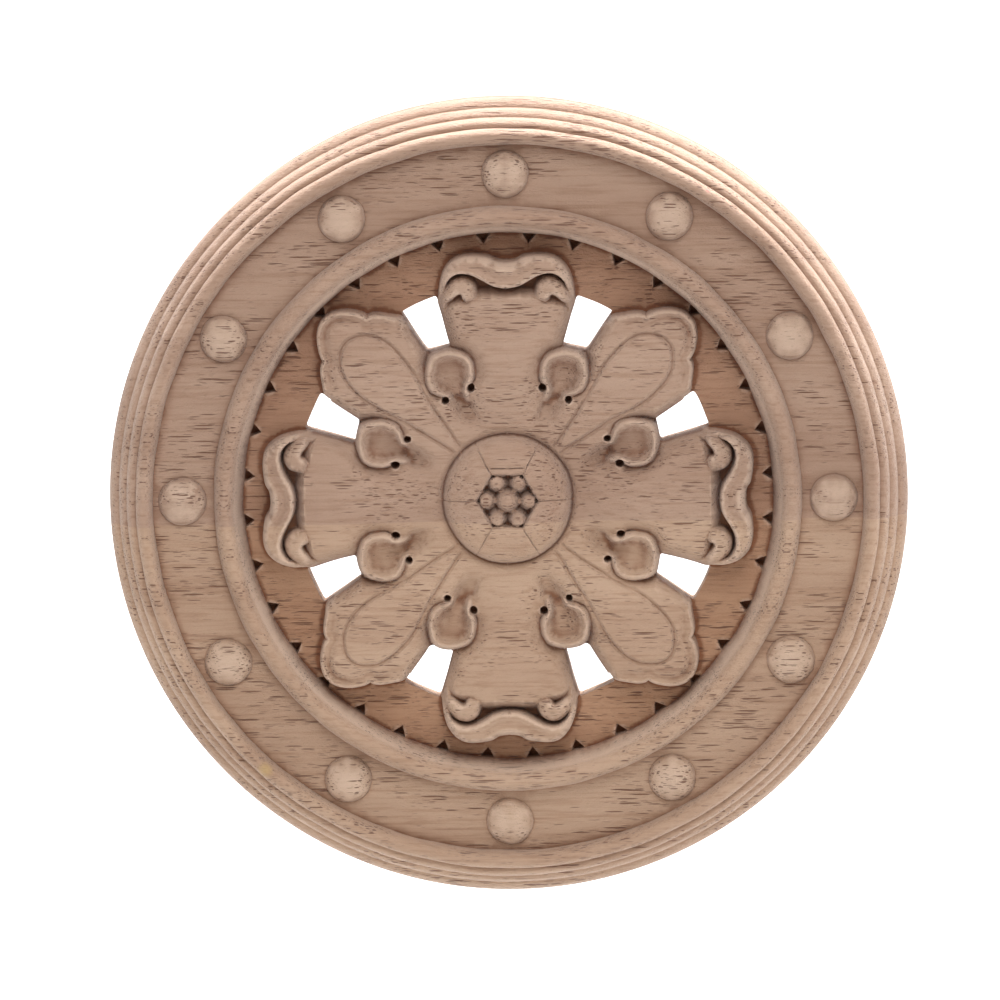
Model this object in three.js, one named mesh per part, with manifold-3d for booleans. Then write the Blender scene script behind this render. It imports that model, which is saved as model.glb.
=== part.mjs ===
// Carved wooden rosette with a pierced eight-petal flower inside a moulded rim
//
// Millimetres. The rosette is carved lying on its back: X to the right, Y up its face and
// Z the height above the flat back. The finished mesh is then stood up, so that it faces -Y
// with its back in the plane Y = 0, as it hangs on a wall.

import * as THREE from 'three';
import { mergeVertices } from 'three/addons/utils/BufferGeometryUtils.js';
import Module from 'manifold-3d';

const wasm = await Module();
wasm.setup();

// Moulded rim, from the outside in
const OUTER_RADIUS = 100;
const EDGE_HEIGHT = 7;
const STEP_COUNT = 3;
const STEP_WIDTH = 1.8;
const STEP_RISE = 2.1;
const STEP_NOSE = 0.6;
const STEP_CREASE = 0.5;
const ROLL_WIDTH = 6.2;
const ROLL_HEIGHT = 19;
const FRIEZE_WIDTH = 15.2;
const FRIEZE_HEIGHT = 13.5;
const RING_WIDTH = 7;
const RING_HEIGHT = 19;

// Half-round pellets along the middle of the frieze
const PELLET_COUNT = 12;
const PELLET_RADIUS = 5.9;
const PELLET_RISE = 2.2;

// Plate that the flower and the floor stand on, and how deep their relief is sunk into it
const PLATE_HEIGHT = 5;
const SINK = 1;

// Sunk floor of rounded tongues behind the flower, with a pit between each two
const TONGUE_COUNT = 36;
const TONGUE_HEIGHT = 7.5;
const TONGUE_FALL = 1;
const FLOOR_REACH = 13;
const PIT_WIDTH = 2.8;
const PIT_LENGTH = 3;
const PIT_FLOOR = 3;

// Flower
const TIP_GAP = 2.8;
const PETAL_PAIRS = 4;
const PETAL_HEIGHT = 16;
const PETAL_ROOT_HEIGHT = 12.5;
const CROWN_RUN = 30;
const PETAL_ROUND = 3.6;
const PETAL_EDGE_HEIGHT = 10;
const BROAD_PETAL_HEIGHT = 15.4;
const BROAD_PETAL_ROUND = 1.8;
const PANEL_RISE = 0.7;
const CURL_HEIGHT = 18.5;
const CURL_END_DROP = 0.5;
const SCROLL_HEIGHT = 16.8;
const SCROLL_ROUND = 1.4;
const LEAF_HEIGHT = 15.8;
const LEAF_HOLLOW = 3.4;
const DRILL_RADIUS = 0.95;
const DRILL_FLOOR = 8;

// Button at the centre
const BUTTON_RADIUS = 16;
const BUTTON_HEIGHT = 19;
const BUTTON_EDGE_HEIGHT = 14;
const BUTTON_EDGE_DROP = 1.2;

// Section of the button's dome outside the socket, as shares of its radius and of its rise
const BUTTON_SECTION = [[0.94, 0], [0.75, 0.62]];

// Six-sided socket in the button, with a ring of seeds around a larger one
const SOCKET_RADIUS = 8;
const SOCKET_FLOOR = 15;
const SEED_COUNT = 6;
const SEED_RADIUS = 1.8;
const SEED_CIRCLE = 5.2;
const MIDDLE_SEED_RADIUS = 2.6;

// Fineness of the facets
const RIM_SEGMENTS = 52;
const BUTTON_SEGMENTS = 20;
const FLOOR_SEGMENTS = TONGUE_COUNT * 3;
const ROUND_SEGMENTS = 9;
const DRILL_SEGMENTS = 6;
const PELLET_FACETS = [0.45, 0.8];
const HUMP_STEPS = 5;
const OVERRUN = 1;

// Radii that follow from the widths
const rollOuter = OUTER_RADIUS - STEP_COUNT * STEP_WIDTH;
const rollInner = rollOuter - ROLL_WIDTH;
const ringOuter = rollInner - FRIEZE_WIDTH;
const ringInner = ringOuter - RING_WIDTH;
const flowerReach = ringInner - TIP_GAP;

// The flower's outlines below are drawn for this reach, and grow or shrink with the real one
const DRAWN_REACH = 63.5;
const flowerScale = flowerReach / DRAWN_REACH;
const eighth = Math.PI / PETAL_PAIRS;

// Half-width of a narrow petal at distances from the centre
const NARROW_PETAL = [[12, 5.2], [25, 10.6], [33, 11], [38, 14.6], [51.4, 18]];

// Half-width of a broad petal at distances from the centre, along its own axis
const BROAD_PETAL = [
  [10, 4.2], [25, 10.6], [33, 9.4], [41, 13], [50.8, 14], [52.1, 12.2], [55.4, 9.6], [56.6, 7.9], [58.5, 7],
  [61.2, 5.4], [62.8, 2.9], [63.5, 0.6],
];

// Half-width of the raised tear-shaped panel on a broad petal
const TEAR_PANEL = [[18, 1.2], [28, 4.2], [37, 7.2], [44, 9], [49, 8.6], [53, 6.4], [55.6, 3.4], [56.5, 0.5]];

// Edges of the curl that rolls over the tip of a narrow petal, from its middle to one side
const CURL_OUTSIDE = [[0, 59.6], [4, 60], [10, 61], [14, 58.7], [15.6, 55.5], [16.8, 51.6]];
const CURL_INSIDE = [[0, 53.5], [5, 55], [8, 56.5], [11, 57], [13.5, 55.5], [15.2, 51.2]];
const CURL_GUTTER = [[0, 51], [5, 51], [8, 51], [11, 51], [13.5, 51], [15.2, 50.6]];

// Section of the curl, as shares of its width and of its rise, and how late its ends dip
const CURL_SECTION = [[0, 0.12], [0.22, 0.82], [0.5, 1], [0.8, 0.85], [1, 0.45]];
const CURL_END_SHARPNESS = 6;

// Middle line of the scroll under the curl with its half-width, from the petal's side to its blunt end
const SCROLL = [[14.9, 49.4, 0.5], [13.9, 52, 0.9], [11.6, 53.7, 1.2], [9.2, 53, 1.6], [8.7, 50.9, 1.1]];

// Cupped leaf between two petals: its middle, half-axes and the valley that runs from it inward
const LEAF_CENTRE = [14, 31.3];
const LEAF_HALF_WIDTH = 5.7;
const LEAF_HALF_LENGTH = 6.2;
const LEAF_TURN = THREE.MathUtils.degToRad(-22.5);

// Section of the leaf from its edge to its middle, as shares of its radius and its hollow's depth
const LEAF_SECTION = [[1, 0.6], [0.8, 0], [0.45, 0.7], [0, 1]];

// Valley and drill marks that run in from the leaf towards the button
const VALLEY_LENGTH = 13;
const VALLEY_HALF_WIDTH = 2;
const VALLEY_END_SHARE = 0.3;
const VALLEY_DEPTH = 2.8;
const VALLEY_CLIMB = 0.6;
const DRILLS = [[8.8, 28.1], [15.1, 25]];

// Corners of one opening, two on the floor's edge and two beside the leaf
const OPENING_FLOOR_SIDE = [[17.6, 50.6], [26.6, 46.5]];
const OPENING_LEAF_SIDE = [[19.9, 37], [13.9, 38.3]];

// Value at a place on a list of [place, value] steps, straight between them
function between(list, place) {
  const after = list.findIndex(([at]) => at >= place);
  if (after <= 0) return after === 0 ? list[0][1] : list[list.length - 1][1];
  const [fromPlace, fromValue] = list[after - 1];
  const [toPlace, toValue] = list[after];
  return THREE.MathUtils.mapLinear(place, fromPlace, toPlace, fromValue, toValue);
}

function flowerPoint([x, y], height = 0) {
  return new THREE.Vector3(x * flowerScale, y * flowerScale, height);
}

function flowerCurve(points) {
  return new THREE.CatmullRomCurve3(points.map((point) => flowerPoint(point)));
}

// Manifold solid of a closed three.js geometry
function toSolid(geometry) {
  const plain = geometry.clone();
  plain.deleteAttribute('normal');
  plain.deleteAttribute('uv');
  const merged = mergeVertices(plain);
  const triangles = [];
  for (let i = 0; i < merged.index.count; i += 3) {
    const [a, b, c] = [0, 1, 2].map((corner) => merged.index.getX(i + corner));
    if (a !== b && b !== c && c !== a) triangles.push(a, b, c);
  }
  return new wasm.Manifold(new wasm.Mesh({
    numProp: 3,
    vertProperties: Float32Array.from(merged.attributes.position.array),
    triVerts: Uint32Array.from(triangles),
  }));
}

function toGeometry(solid) {
  const { vertProperties, triVerts } = solid.getMesh();
  const geometry = new THREE.BufferGeometry();
  geometry.setAttribute('position', new THREE.BufferAttribute(vertProperties, 3));
  geometry.setIndex(new THREE.BufferAttribute(triVerts, 1));
  return geometry;
}

// Closed solid under a grid of surface points, carried straight down to a flat base
function reliefSolid(columns, rows, surface, base = PLATE_HEIGHT - SINK) {
  const positions = [];
  const faces = [];
  const perSide = (columns + 1) * (rows + 1);
  const top = (column, row) => row * (columns + 1) + column;
  const bottom = (column, row) => perSide + top(column, row);
  const quad = (a, b, c, d) => faces.push(a, b, c, a, c, d);

  for (const level of ['top', 'bottom']) {
    for (let row = 0; row <= rows; row++) {
      for (let column = 0; column <= columns; column++) {
        const point = surface(column / columns, row / rows);
        positions.push(point.x, point.y, level === 'top' ? point.z : base);
      }
    }
  }
  for (let row = 0; row < rows; row++) {
    for (let column = 0; column < columns; column++) {
      const [right, next] = [column + 1, row + 1];
      quad(top(column, row), top(right, row), top(right, next), top(column, next));
      quad(bottom(column, row), bottom(column, next), bottom(right, next), bottom(right, row));
    }
  }
  for (let column = 0; column < columns; column++) {
    quad(bottom(column, 0), bottom(column + 1, 0), top(column + 1, 0), top(column, 0));
    quad(top(column, rows), top(column + 1, rows), bottom(column + 1, rows), bottom(column, rows));
  }
  for (let row = 0; row < rows; row++) {
    quad(top(0, row), top(0, row + 1), bottom(0, row + 1), bottom(0, row));
    quad(bottom(columns, row), bottom(columns, row + 1), top(columns, row + 1), top(columns, row));
  }

  const geometry = new THREE.BufferGeometry();
  geometry.setAttribute('position', new THREE.Float32BufferAttribute(positions, 3));
  geometry.setIndex(faces);
  return toSolid(geometry);
}

// Solid turned from a profile of [radius, height] points, its axis standing up
function turnedSolid(profile, segments) {
  const geometry = new THREE.LatheGeometry(profile.map(([r, z]) => new THREE.Vector2(r, z)), segments);
  geometry.rotateX(Math.PI / 2);
  return toSolid(geometry);
}

function prism(points, from, to) {
  const shape = new THREE.Shape(points.map(([x, y]) => new THREE.Vector2(x, y)));
  const geometry = new THREE.ExtrudeGeometry(shape, { depth: to - from, bevelEnabled: false });
  geometry.translate(0, 0, from);
  return toSolid(geometry);
}

function turned(solid, angle) {
  return solid.rotate([0, 0, THREE.MathUtils.radToDeg(angle)]);
}

function mirrored(solid) {
  return solid.mirror([1, 0, 0]);
}

// The same solid around the centre, count times
function around(solid, count, start = 0) {
  const copies = [];
  for (let i = 0; i < count; i++) {
    copies.push(turned(solid, start + (i * 2 * Math.PI) / count));
  }
  return wasm.Manifold.union(copies);
}

// Points of a rounded hump in the profile between two radii
function hump(outer, inner, outerHeight, topHeight, innerHeight) {
  const points = [];
  const middle = (outer + inner) / 2;
  for (let i = 0; i <= HUMP_STEPS; i++) {
    const angle = (Math.PI * i) / HUMP_STEPS;
    const foot = i * 2 < HUMP_STEPS ? outerHeight : innerHeight;
    const radius = middle + ((outer - inner) / 2) * Math.cos(angle);
    points.push([radius, foot + (topHeight - foot) * Math.sin(angle)]);
  }
  return points;
}

// Rim, roll, frieze, ring and plate in one turned blank
function blank() {
  const profile = [[0, 0], [OUTER_RADIUS, 0], [OUTER_RADIUS, EDGE_HEIGHT]];
  for (let step = 0; step < STEP_COUNT; step++) {
    const outer = OUTER_RADIUS - step * STEP_WIDTH;
    const height = EDGE_HEIGHT + (step + 1) * STEP_RISE;
    profile.push([outer - STEP_NOSE, height]);
    profile.push([outer - STEP_WIDTH, height - STEP_CREASE]);
  }
  const rollFoot = profile[profile.length - 1][1];
  profile.push(...hump(rollOuter, rollInner, rollFoot, ROLL_HEIGHT, FRIEZE_HEIGHT).slice(1));
  profile.push(...hump(ringOuter, ringInner, FRIEZE_HEIGHT, RING_HEIGHT, PLATE_HEIGHT));
  profile.push([0, PLATE_HEIGHT]);
  return turnedSolid(profile, RIM_SEGMENTS);
}

function pellets() {
  const sunk = FRIEZE_HEIGHT - SINK;
  const profile = [[0, sunk], [PELLET_RADIUS, sunk], [PELLET_RADIUS, FRIEZE_HEIGHT]];
  for (const share of PELLET_FACETS) {
    const angle = (share * Math.PI) / 2;
    profile.push([PELLET_RADIUS * Math.cos(angle), FRIEZE_HEIGHT + PELLET_RISE * Math.sin(angle)]);
  }
  profile.push([0, FRIEZE_HEIGHT + PELLET_RISE]);
  const pellet = turnedSolid(profile, ROUND_SEGMENTS).translate([0, (rollInner + ringOuter) / 2, 0]);
  return around(pellet, PELLET_COUNT);
}

// Ring of tongues, each round across and rounded off at its outer end
function tongueFloor() {
  const inner = ringInner - FLOOR_REACH;
  const outer = ringInner + OVERRUN;
  const sunk = PLATE_HEIGHT - SINK;
  const profile = [
    [inner, sunk], [outer, sunk], [outer, TONGUE_HEIGHT], [inner, TONGUE_HEIGHT], [inner, sunk],
  ];
  const geometry = new THREE.LatheGeometry(profile.map(([r, z]) => new THREE.Vector2(r, z)), FLOOR_SEGMENTS);
  const place = geometry.attributes.position;
  for (let i = 0; i < place.count; i++) {
    const angle = Math.atan2(place.getX(i), place.getZ(i));
    const flute = Math.abs(Math.sin((angle * TONGUE_COUNT) / 2));
    if (place.getY(i) > sunk) place.setY(i, place.getY(i) - TONGUE_FALL * flute * flute);
  }
  geometry.rotateX(Math.PI / 2);
  return toSolid(geometry);
}

function pits() {
  const outline = [
    [-PIT_WIDTH / 2, ringInner], [PIT_WIDTH / 2, ringInner], [0, ringInner - PIT_LENGTH],
  ];
  return around(prism(outline, PIT_FLOOR, TONGUE_HEIGHT + OVERRUN), TONGUE_COUNT, Math.PI / TONGUE_COUNT);
}

// Crown of a petal at a distance from the centre, rising from the root to its full height
function crownHeight(fullHeight, distance) {
  const share = Math.min(1, (distance - BUTTON_RADIUS) / CROWN_RUN);
  return THREE.MathUtils.lerp(PETAL_ROOT_HEIGHT, fullHeight, Math.sin((share * Math.PI) / 2));
}

// Petal over an outline of [distance, half-width] rows, its surface by distance and share across
function petalSolid(outline, columns, height, base) {
  return reliefSolid(columns, outline.length - 1, (u, v) => {
    const [distance, halfWidth] = outline[Math.round(v * (outline.length - 1))];
    const across = 2 * u - 1;
    return flowerPoint([across * halfWidth, distance], height(distance, across));
  }, base);
}

function narrowPetal() {
  return petalSolid(NARROW_PETAL, 4, (distance, across) => (
    crownHeight(PETAL_HEIGHT, distance) - PETAL_ROUND * across ** 2
  ));
}

// Rolled tip of a narrow petal, both sides of its middle, with the gutter below it
function curl() {
  const outside = flowerCurve(CURL_OUTSIDE);
  const inside = flowerCurve(CURL_INSIDE);
  const gutter = flowerCurve(CURL_GUTTER);
  const rise = CURL_HEIGHT - PETAL_EDGE_HEIGHT;
  const side = reliefSolid(7, CURL_SECTION.length, (u, v) => {
    const row = Math.round(v * CURL_SECTION.length) - 1;
    const [across, share] = row < 0 ? [0, 0] : CURL_SECTION[row];
    const fade = 1 - CURL_END_DROP * u ** CURL_END_SHARPNESS;
    const point = inside.getPoint(u).lerp(outside.getPoint(u), across);
    if (row < 0) point.copy(gutter.getPoint(u));
    point.z = PETAL_EDGE_HEIGHT + rise * share * fade;
    return point;
  });
  return side.add(mirrored(side));
}

// Scroll under one half of the curl, thickening to a blunt end
function scroll() {
  const middle = flowerCurve(SCROLL);
  const halfWidth = SCROLL.map(([, , width], i) => [i / (SCROLL.length - 1), width * flowerScale]);
  const side = reliefSolid(2, SCROLL.length, (u, v) => {
    const tangent = middle.getTangent(v);
    const across = new THREE.Vector3(-tangent.y, tangent.x, 0);
    const point = middle.getPoint(v).addScaledVector(across, (1 - 2 * u) * between(halfWidth, v));
    point.z = SCROLL_HEIGHT - SCROLL_ROUND * (1 - 2 * u) ** 2;
    return point;
  });
  return side.add(mirrored(side));
}

function broadPetal() {
  const body = petalSolid(BROAD_PETAL, 4, (distance, across) => (
    crownHeight(BROAD_PETAL_HEIGHT, distance) - BROAD_PETAL_ROUND * across ** 2
  ));
  const panel = petalSolid(TEAR_PANEL, 2, (distance, across) => (
    crownHeight(BROAD_PETAL_HEIGHT, distance) + PANEL_RISE * (1 - across ** 2 / 2)
  ), PETAL_EDGE_HEIGHT);
  return turned(body.add(panel), eighth);
}

// Cupped leaf in the fork between two petals
function leaf() {
  const sunk = PLATE_HEIGHT - SINK;
  const section = LEAF_SECTION.map(([radius, drop]) => [radius, LEAF_HEIGHT - drop * LEAF_HOLLOW]);
  const profile = [[0, sunk], [1, sunk], ...section];
  return turnedSolid(profile, ROUND_SEGMENTS)
    .scale([LEAF_HALF_WIDTH * flowerScale, LEAF_HALF_LENGTH * flowerScale, 1])
    .rotate([0, 0, THREE.MathUtils.radToDeg(LEAF_TURN)])
    .translate([...flowerPoint(LEAF_CENTRE)]);
}

// Tapering valley from the leaf's hollow in towards the button, to be cut out
function valley() {
  const bottom = LEAF_HEIGHT - LEAF_HOLLOW;
  const wedge = reliefSolid(2, 3, (u, v) => {
    const half = VALLEY_HALF_WIDTH * THREE.MathUtils.lerp(1, VALLEY_END_SHARE, v);
    const rise = u === 0.5 ? 0 : VALLEY_DEPTH;
    const place = flowerPoint([(2 * u - 1) * half, v * VALLEY_LENGTH]);
    return place.setZ(-rise - v * VALLEY_CLIMB);
  }, -LEAF_HEIGHT);
  const upsideDown = wedge.mirror([0, 0, 1]).translate([0, 0, bottom]);
  return turned(upsideDown, Math.PI + LEAF_TURN).translate([...flowerPoint(LEAF_CENTRE)]);
}

function drills() {
  const profile = [
    [0, DRILL_FLOOR], [DRILL_RADIUS, DRILL_FLOOR], [DRILL_RADIUS, ROLL_HEIGHT], [0, ROLL_HEIGHT],
  ];
  const hole = turnedSolid(profile, DRILL_SEGMENTS);
  return wasm.Manifold.union(DRILLS.map((place) => hole.translate([...flowerPoint(place)])));
}

function opening() {
  const corners = [...OPENING_FLOOR_SIDE, ...OPENING_LEAF_SIDE].reverse();
  return prism(corners.map((corner) => [...flowerPoint(corner)]), -OVERRUN, ROLL_HEIGHT + OVERRUN);
}

// The copies on both sides of all four narrow petals
function eightfold(solid) {
  return around(solid.add(mirrored(solid)), PETAL_PAIRS);
}

function button() {
  const sunk = PLATE_HEIGHT - SINK;
  const section = BUTTON_SECTION.map(([radius, share]) => [
    radius * BUTTON_RADIUS, THREE.MathUtils.lerp(BUTTON_EDGE_HEIGHT, BUTTON_HEIGHT, share),
  ]);
  const profile = [
    [0, sunk], [BUTTON_RADIUS, sunk], [BUTTON_RADIUS, BUTTON_EDGE_HEIGHT - BUTTON_EDGE_DROP], ...section,
    [SOCKET_RADIUS, BUTTON_HEIGHT], [0, BUTTON_HEIGHT],
  ];
  const dome = turnedSolid(profile, BUTTON_SEGMENTS);
  const corners = [];
  for (let i = 0; i < SEED_COUNT; i++) {
    const angle = (i * 2 * Math.PI) / SEED_COUNT;
    corners.push([SOCKET_RADIUS * Math.cos(angle), SOCKET_RADIUS * Math.sin(angle)]);
  }
  const socket = prism(corners, SOCKET_FLOOR, BUTTON_HEIGHT + OVERRUN);
  const seedHeight = SOCKET_FLOOR + SEED_RADIUS / 2;
  const seed = new THREE.SphereGeometry(SEED_RADIUS, 6, 4).translate(SEED_CIRCLE, 0, seedHeight);
  const middle = new THREE.SphereGeometry(MIDDLE_SEED_RADIUS, 8, 5).translate(0, 0, seedHeight);
  return dome.subtract(socket).add(around(toSolid(seed), SEED_COUNT)).add(toSolid(middle));
}

function carvedRosette() {
  const moulding = blank().add(pellets()).add(tongueFloor()).subtract(pits());
  const petals = around(wasm.Manifold.union([narrowPetal(), curl(), scroll(), broadPetal()]), PETAL_PAIRS);
  const leaves = eightfold(leaf());
  const cuts = wasm.Manifold.union([eightfold(valley()), eightfold(drills()), eightfold(opening())]);
  return moulding.add(petals).add(leaves).subtract(cuts).add(button());
}

const wood = new THREE.MeshStandardMaterial({ color: 0xc9a184, roughness: 0.75, metalness: 0 });

const rosette = new THREE.Mesh(toGeometry(carvedRosette()), wood);
rosette.name = 'carved_rosette';
rosette.rotation.x = Math.PI / 2;

const model = new THREE.Group();
model.add(rosette);

export default model;
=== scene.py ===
"""Carved wooden rosette, upright and facing the camera.

The carving is one relief: every point of its plan has one height above the flat back. Plan and
heights are in millimetres with X to the right and Y up the face. The finished mesh is in metres
in the row's frame, where the face looks along -Y and the back lies in the plane Y = 0.
"""

import logging
import math
from collections import Counter
from collections.abc import Sequence
from dataclasses import dataclass, field
from enum import Enum

import bpy
import numpy as np
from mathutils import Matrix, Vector, kdtree
from mathutils.geometry import delaunay_2d_cdt

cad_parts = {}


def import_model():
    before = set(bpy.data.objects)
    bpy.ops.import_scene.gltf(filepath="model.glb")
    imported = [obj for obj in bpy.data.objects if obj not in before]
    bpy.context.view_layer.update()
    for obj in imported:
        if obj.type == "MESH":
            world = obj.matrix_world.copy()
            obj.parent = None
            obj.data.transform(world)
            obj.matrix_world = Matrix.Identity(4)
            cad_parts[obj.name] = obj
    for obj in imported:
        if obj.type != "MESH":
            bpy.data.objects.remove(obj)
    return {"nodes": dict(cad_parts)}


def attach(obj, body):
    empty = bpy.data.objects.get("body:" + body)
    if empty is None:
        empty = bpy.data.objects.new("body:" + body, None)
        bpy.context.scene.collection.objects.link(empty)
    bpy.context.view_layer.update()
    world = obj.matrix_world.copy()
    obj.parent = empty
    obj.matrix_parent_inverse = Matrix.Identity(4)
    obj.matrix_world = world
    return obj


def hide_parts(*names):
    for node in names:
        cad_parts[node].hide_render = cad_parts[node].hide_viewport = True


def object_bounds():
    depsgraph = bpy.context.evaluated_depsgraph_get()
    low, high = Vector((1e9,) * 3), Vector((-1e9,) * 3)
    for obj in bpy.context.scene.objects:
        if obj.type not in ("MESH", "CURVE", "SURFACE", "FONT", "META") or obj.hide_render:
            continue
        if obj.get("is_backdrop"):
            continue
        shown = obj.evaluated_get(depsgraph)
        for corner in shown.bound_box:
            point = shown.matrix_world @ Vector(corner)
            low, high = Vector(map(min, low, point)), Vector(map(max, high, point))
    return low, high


log = logging.getLogger("rosette")

MM = 0.001

# Least distances in the plan: between equal points, between points along a crease, and the
# rounding of the triangulation
SAME_POINT = 0.02
CREASE_GAP = 0.12
ROUNDING = 1e-5

Rows = tuple[tuple[float, ...], ...]
Colour = tuple[float, float, float, float]
Socket = bpy.types.NodeSocket


class Symmetry(Enum):
    """How a wedge of the plan is repeated: number of turned copies, each with its mirror image."""

    FLOWER = 4
    BUTTON = 6


def smooth_line(points: Rows, step: float = 0.5, closed: bool = False) -> np.ndarray:
    """Even points on a smooth curve.

    Args:
        points: Corner points of the curve as (x, y) pairs.
        step: Distance between the points that come back.
        closed: Whether the curve runs back to its start.

    Returns:
        Array of (x, y) rows from the first corner to the last.
    """
    corners = np.array(points, float)
    if closed:
        ring = np.vstack([corners[-1], corners, corners[0], corners[1]])
    else:
        ring = np.vstack([2 * corners[0] - corners[1], corners, 2 * corners[-1] - corners[-2]])
    share = np.linspace(0, 1, 16, endpoint=False)[:, None]
    spans = [
        0.5 * (2 * b + (c - a) * share + (2 * a - 5 * b + 4 * c - d) * share**2
               + (3 * b - 3 * c + d - a) * share**3)
        for a, b, c, d in zip(ring, ring[1:], ring[2:], ring[3:])
    ]
    return even_line(np.vstack(spans + [ring[-2:-1]]), step)


def even_line(points: list | Rows | np.ndarray, step: float) -> np.ndarray:
    """Points at even distances along a polyline.

    Args:
        points: Corners of the polyline as (x, y) pairs.
        step: Distance between the points that come back.

    Returns:
        Array of (x, y) rows, both ends kept.
    """
    points = np.array(points, float)
    lengths = np.concatenate([[0], np.cumsum(np.hypot(*np.diff(points, axis=0).T))])
    places = np.linspace(0, lengths[-1], max(1, round(lengths[-1] / step)) + 1)
    return np.column_stack([np.interp(places, lengths, points[:, k]) for k in (0, 1)])


def to_line(points: np.ndarray, line: np.ndarray) -> tuple[np.ndarray, np.ndarray]:
    """Distance of points from a polyline.

    Args:
        points: Array of (x, y) rows.
        line: Array of (x, y) rows along the polyline.

    Returns:
        Distances that are positive on the line's right side, and the share along the line.
    """
    start, run = line[:-1], np.diff(line, axis=0)
    offset = points[:, None] - start[None]
    along = np.clip((offset * run).sum(-1) / (run**2).sum(-1), 0, 1)
    gap = offset - along[..., None] * run
    nearest = (gap**2).sum(-1).argmin(1)
    row = np.arange(len(points))
    run, gap, offset = run[nearest], gap[row, nearest], offset[row, nearest]
    side = np.where(run[:, 1] * offset[:, 0] - run[:, 0] * offset[:, 1] >= 0, 1, -1)
    return side * np.hypot(*gap.T), (nearest + along[row, nearest]) / len(start)


def inside(points: np.ndarray, loop: np.ndarray) -> np.ndarray:
    """Whether each point lies inside a closed loop.

    Args:
        points: Array of (x, y) rows.
        loop: Corners of the loop, the first one not repeated.

    Returns:
        One truth value for each point.
    """
    (x, y), (ax, ay), (bx, by) = points.T, loop.T, np.roll(loop, -1, axis=0).T
    crossing = (ay[None] > y[:, None]) != (by[None] > y[:, None])
    rise = np.where(by == ay, 1, by - ay)
    place = ax + (y[:, None] - ay) * (bx - ax) / rise
    return (crossing & (x[:, None] < place)).sum(1) % 2 == 1


def within(points: np.ndarray, loop: np.ndarray) -> np.ndarray:
    """Distance of points inside a closed loop from it, negative outside."""
    distance, _ = to_line(points, np.vstack([loop, loop[:1]]))
    return np.where(inside(points, loop), 1, -1) * np.abs(distance)


def ramp(value: np.ndarray, low: float, high: float) -> np.ndarray:
    """Smooth step from 0 at low to 1 at high."""
    share = np.clip((value - low) / (high - low), 0, 1)
    return share * share * (3 - 2 * share)


def edge_fall(distance: np.ndarray, reach: float) -> np.ndarray:
    """Share of a rounded edge's fall at a distance inside it: 1 on the edge, 0 from reach on."""
    return (1 - np.clip(distance / reach, 0, 1)) ** 2


def bulge(value: np.ndarray) -> np.ndarray:
    """Half a wave: 1 at zero, falling to 0 at -1 and 1."""
    return np.cos(np.clip(value, -1, 1) * math.pi / 2)


def circle(radius: float, turns: np.ndarray) -> np.ndarray:
    """Points on a circle around the centre at angles in radians."""
    return radius * np.column_stack([np.cos(turns), np.sin(turns)])


def hump(outer: tuple[float, ...], top: tuple[float, ...], inner: tuple[float, ...], steps: int,
         full: tuple[float, float] = (0.85, 0.85)) -> list[tuple[float, float]]:
    """Rounded section from one foot over a top to the other.

    Args:
        outer: Radius and height of the outer foot.
        top: Radius and height of the top.
        inner: Radius and height of the inner foot.
        steps: Number of steps on each side of the top.
        full: Powers of the outer and the inner side, fuller as they fall.

    Returns:
        The section's (radius, height) rows from the outer foot to the inner.
    """
    rows = []
    for foot, start, end, power in ((outer, 0, 0.5, full[0]), (inner, 0.5, 1, full[1])):
        for share in np.linspace(start, end, steps + 1)[0 if foot is outer else 1:]:
            angle = math.pi * share
            across = abs(math.cos(angle))
            rows.append((top[0] + (foot[0] - top[0]) * across,
                         foot[1] + (top[1] - foot[1]) * max(math.sin(angle), 0) ** power))
    return rows


@dataclass(frozen=True)
class Moulding:
    """Sections of the rim and the ring, and the circles and heights that the parts share.

    Attributes:
        rim: Section of the rim from its edge to the roll's outer arris.
        roll_top: Radius and height of the roll's top.
        ring_top: Radius and height of the ring's top.
        roll_inner: Radius at which the roll meets the frieze.
        ring_outer: Radius at which the frieze meets the ring.
        ring_inner: Radius at which the ring meets the floor.
        plain_ring: Radius from which on the ring is the same all round.
        button: Radius of the button.
        frieze: Height of the frieze.
        floor: Height of the sunk floor.
    """

    rim: Rows = (
        (100.0, 5.7), (99.9, 6.6), (99.7, 7.4), (99.35, 8.1), (98.85, 8.7), (98.3, 9.1),
        (97.8, 9.35), (97.45, 9.4), (97.3, 9.65), (97.25, 10.3), (97.1, 11.1), (96.85, 11.8),
        (96.5, 12.35), (96.0, 12.8), (95.5, 13.0), (95.2, 13.05), (95.1, 13.35), (95.05, 14.0),
        (94.9, 14.75), (94.65, 15.4), (94.3, 15.9), (93.8, 16.25), (93.3, 16.35), (92.9, 16.2),
        (92.65, 16.2),
    )
    roll_top: tuple[float, float] = (90.6, 18.7)
    ring_top: tuple[float, float] = (70.3, 18.8)
    roll_inner: float = 88.5
    ring_outer: float = 73.3
    ring_inner: float = 66.3
    plain_ring: float = 67.5
    button: float = 16.0
    frieze: float = 13.5
    floor: float = 7.5

    def roll_rows(self) -> list[tuple[float, float]]:
        """Section of the roll from the rim to the frieze."""
        return hump(self.rim[-1], self.roll_top, (self.roll_inner, self.frieze), 7)

    def ring_rows(self) -> list[tuple[float, float]]:
        """Section of the ring from the frieze to below the floor."""
        low = (self.ring_inner, self.floor - 1)
        return hump((self.ring_outer, self.frieze), self.ring_top, low, 12, (0.8, 1.1))

    def height(self, radius: np.ndarray) -> np.ndarray:
        """Heights of the plain moulding at some radii."""
        section = np.array([*self.rim, *self.roll_rows()[1:], *self.ring_rows()])[::-1]
        return np.interp(radius, *section.T)


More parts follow.
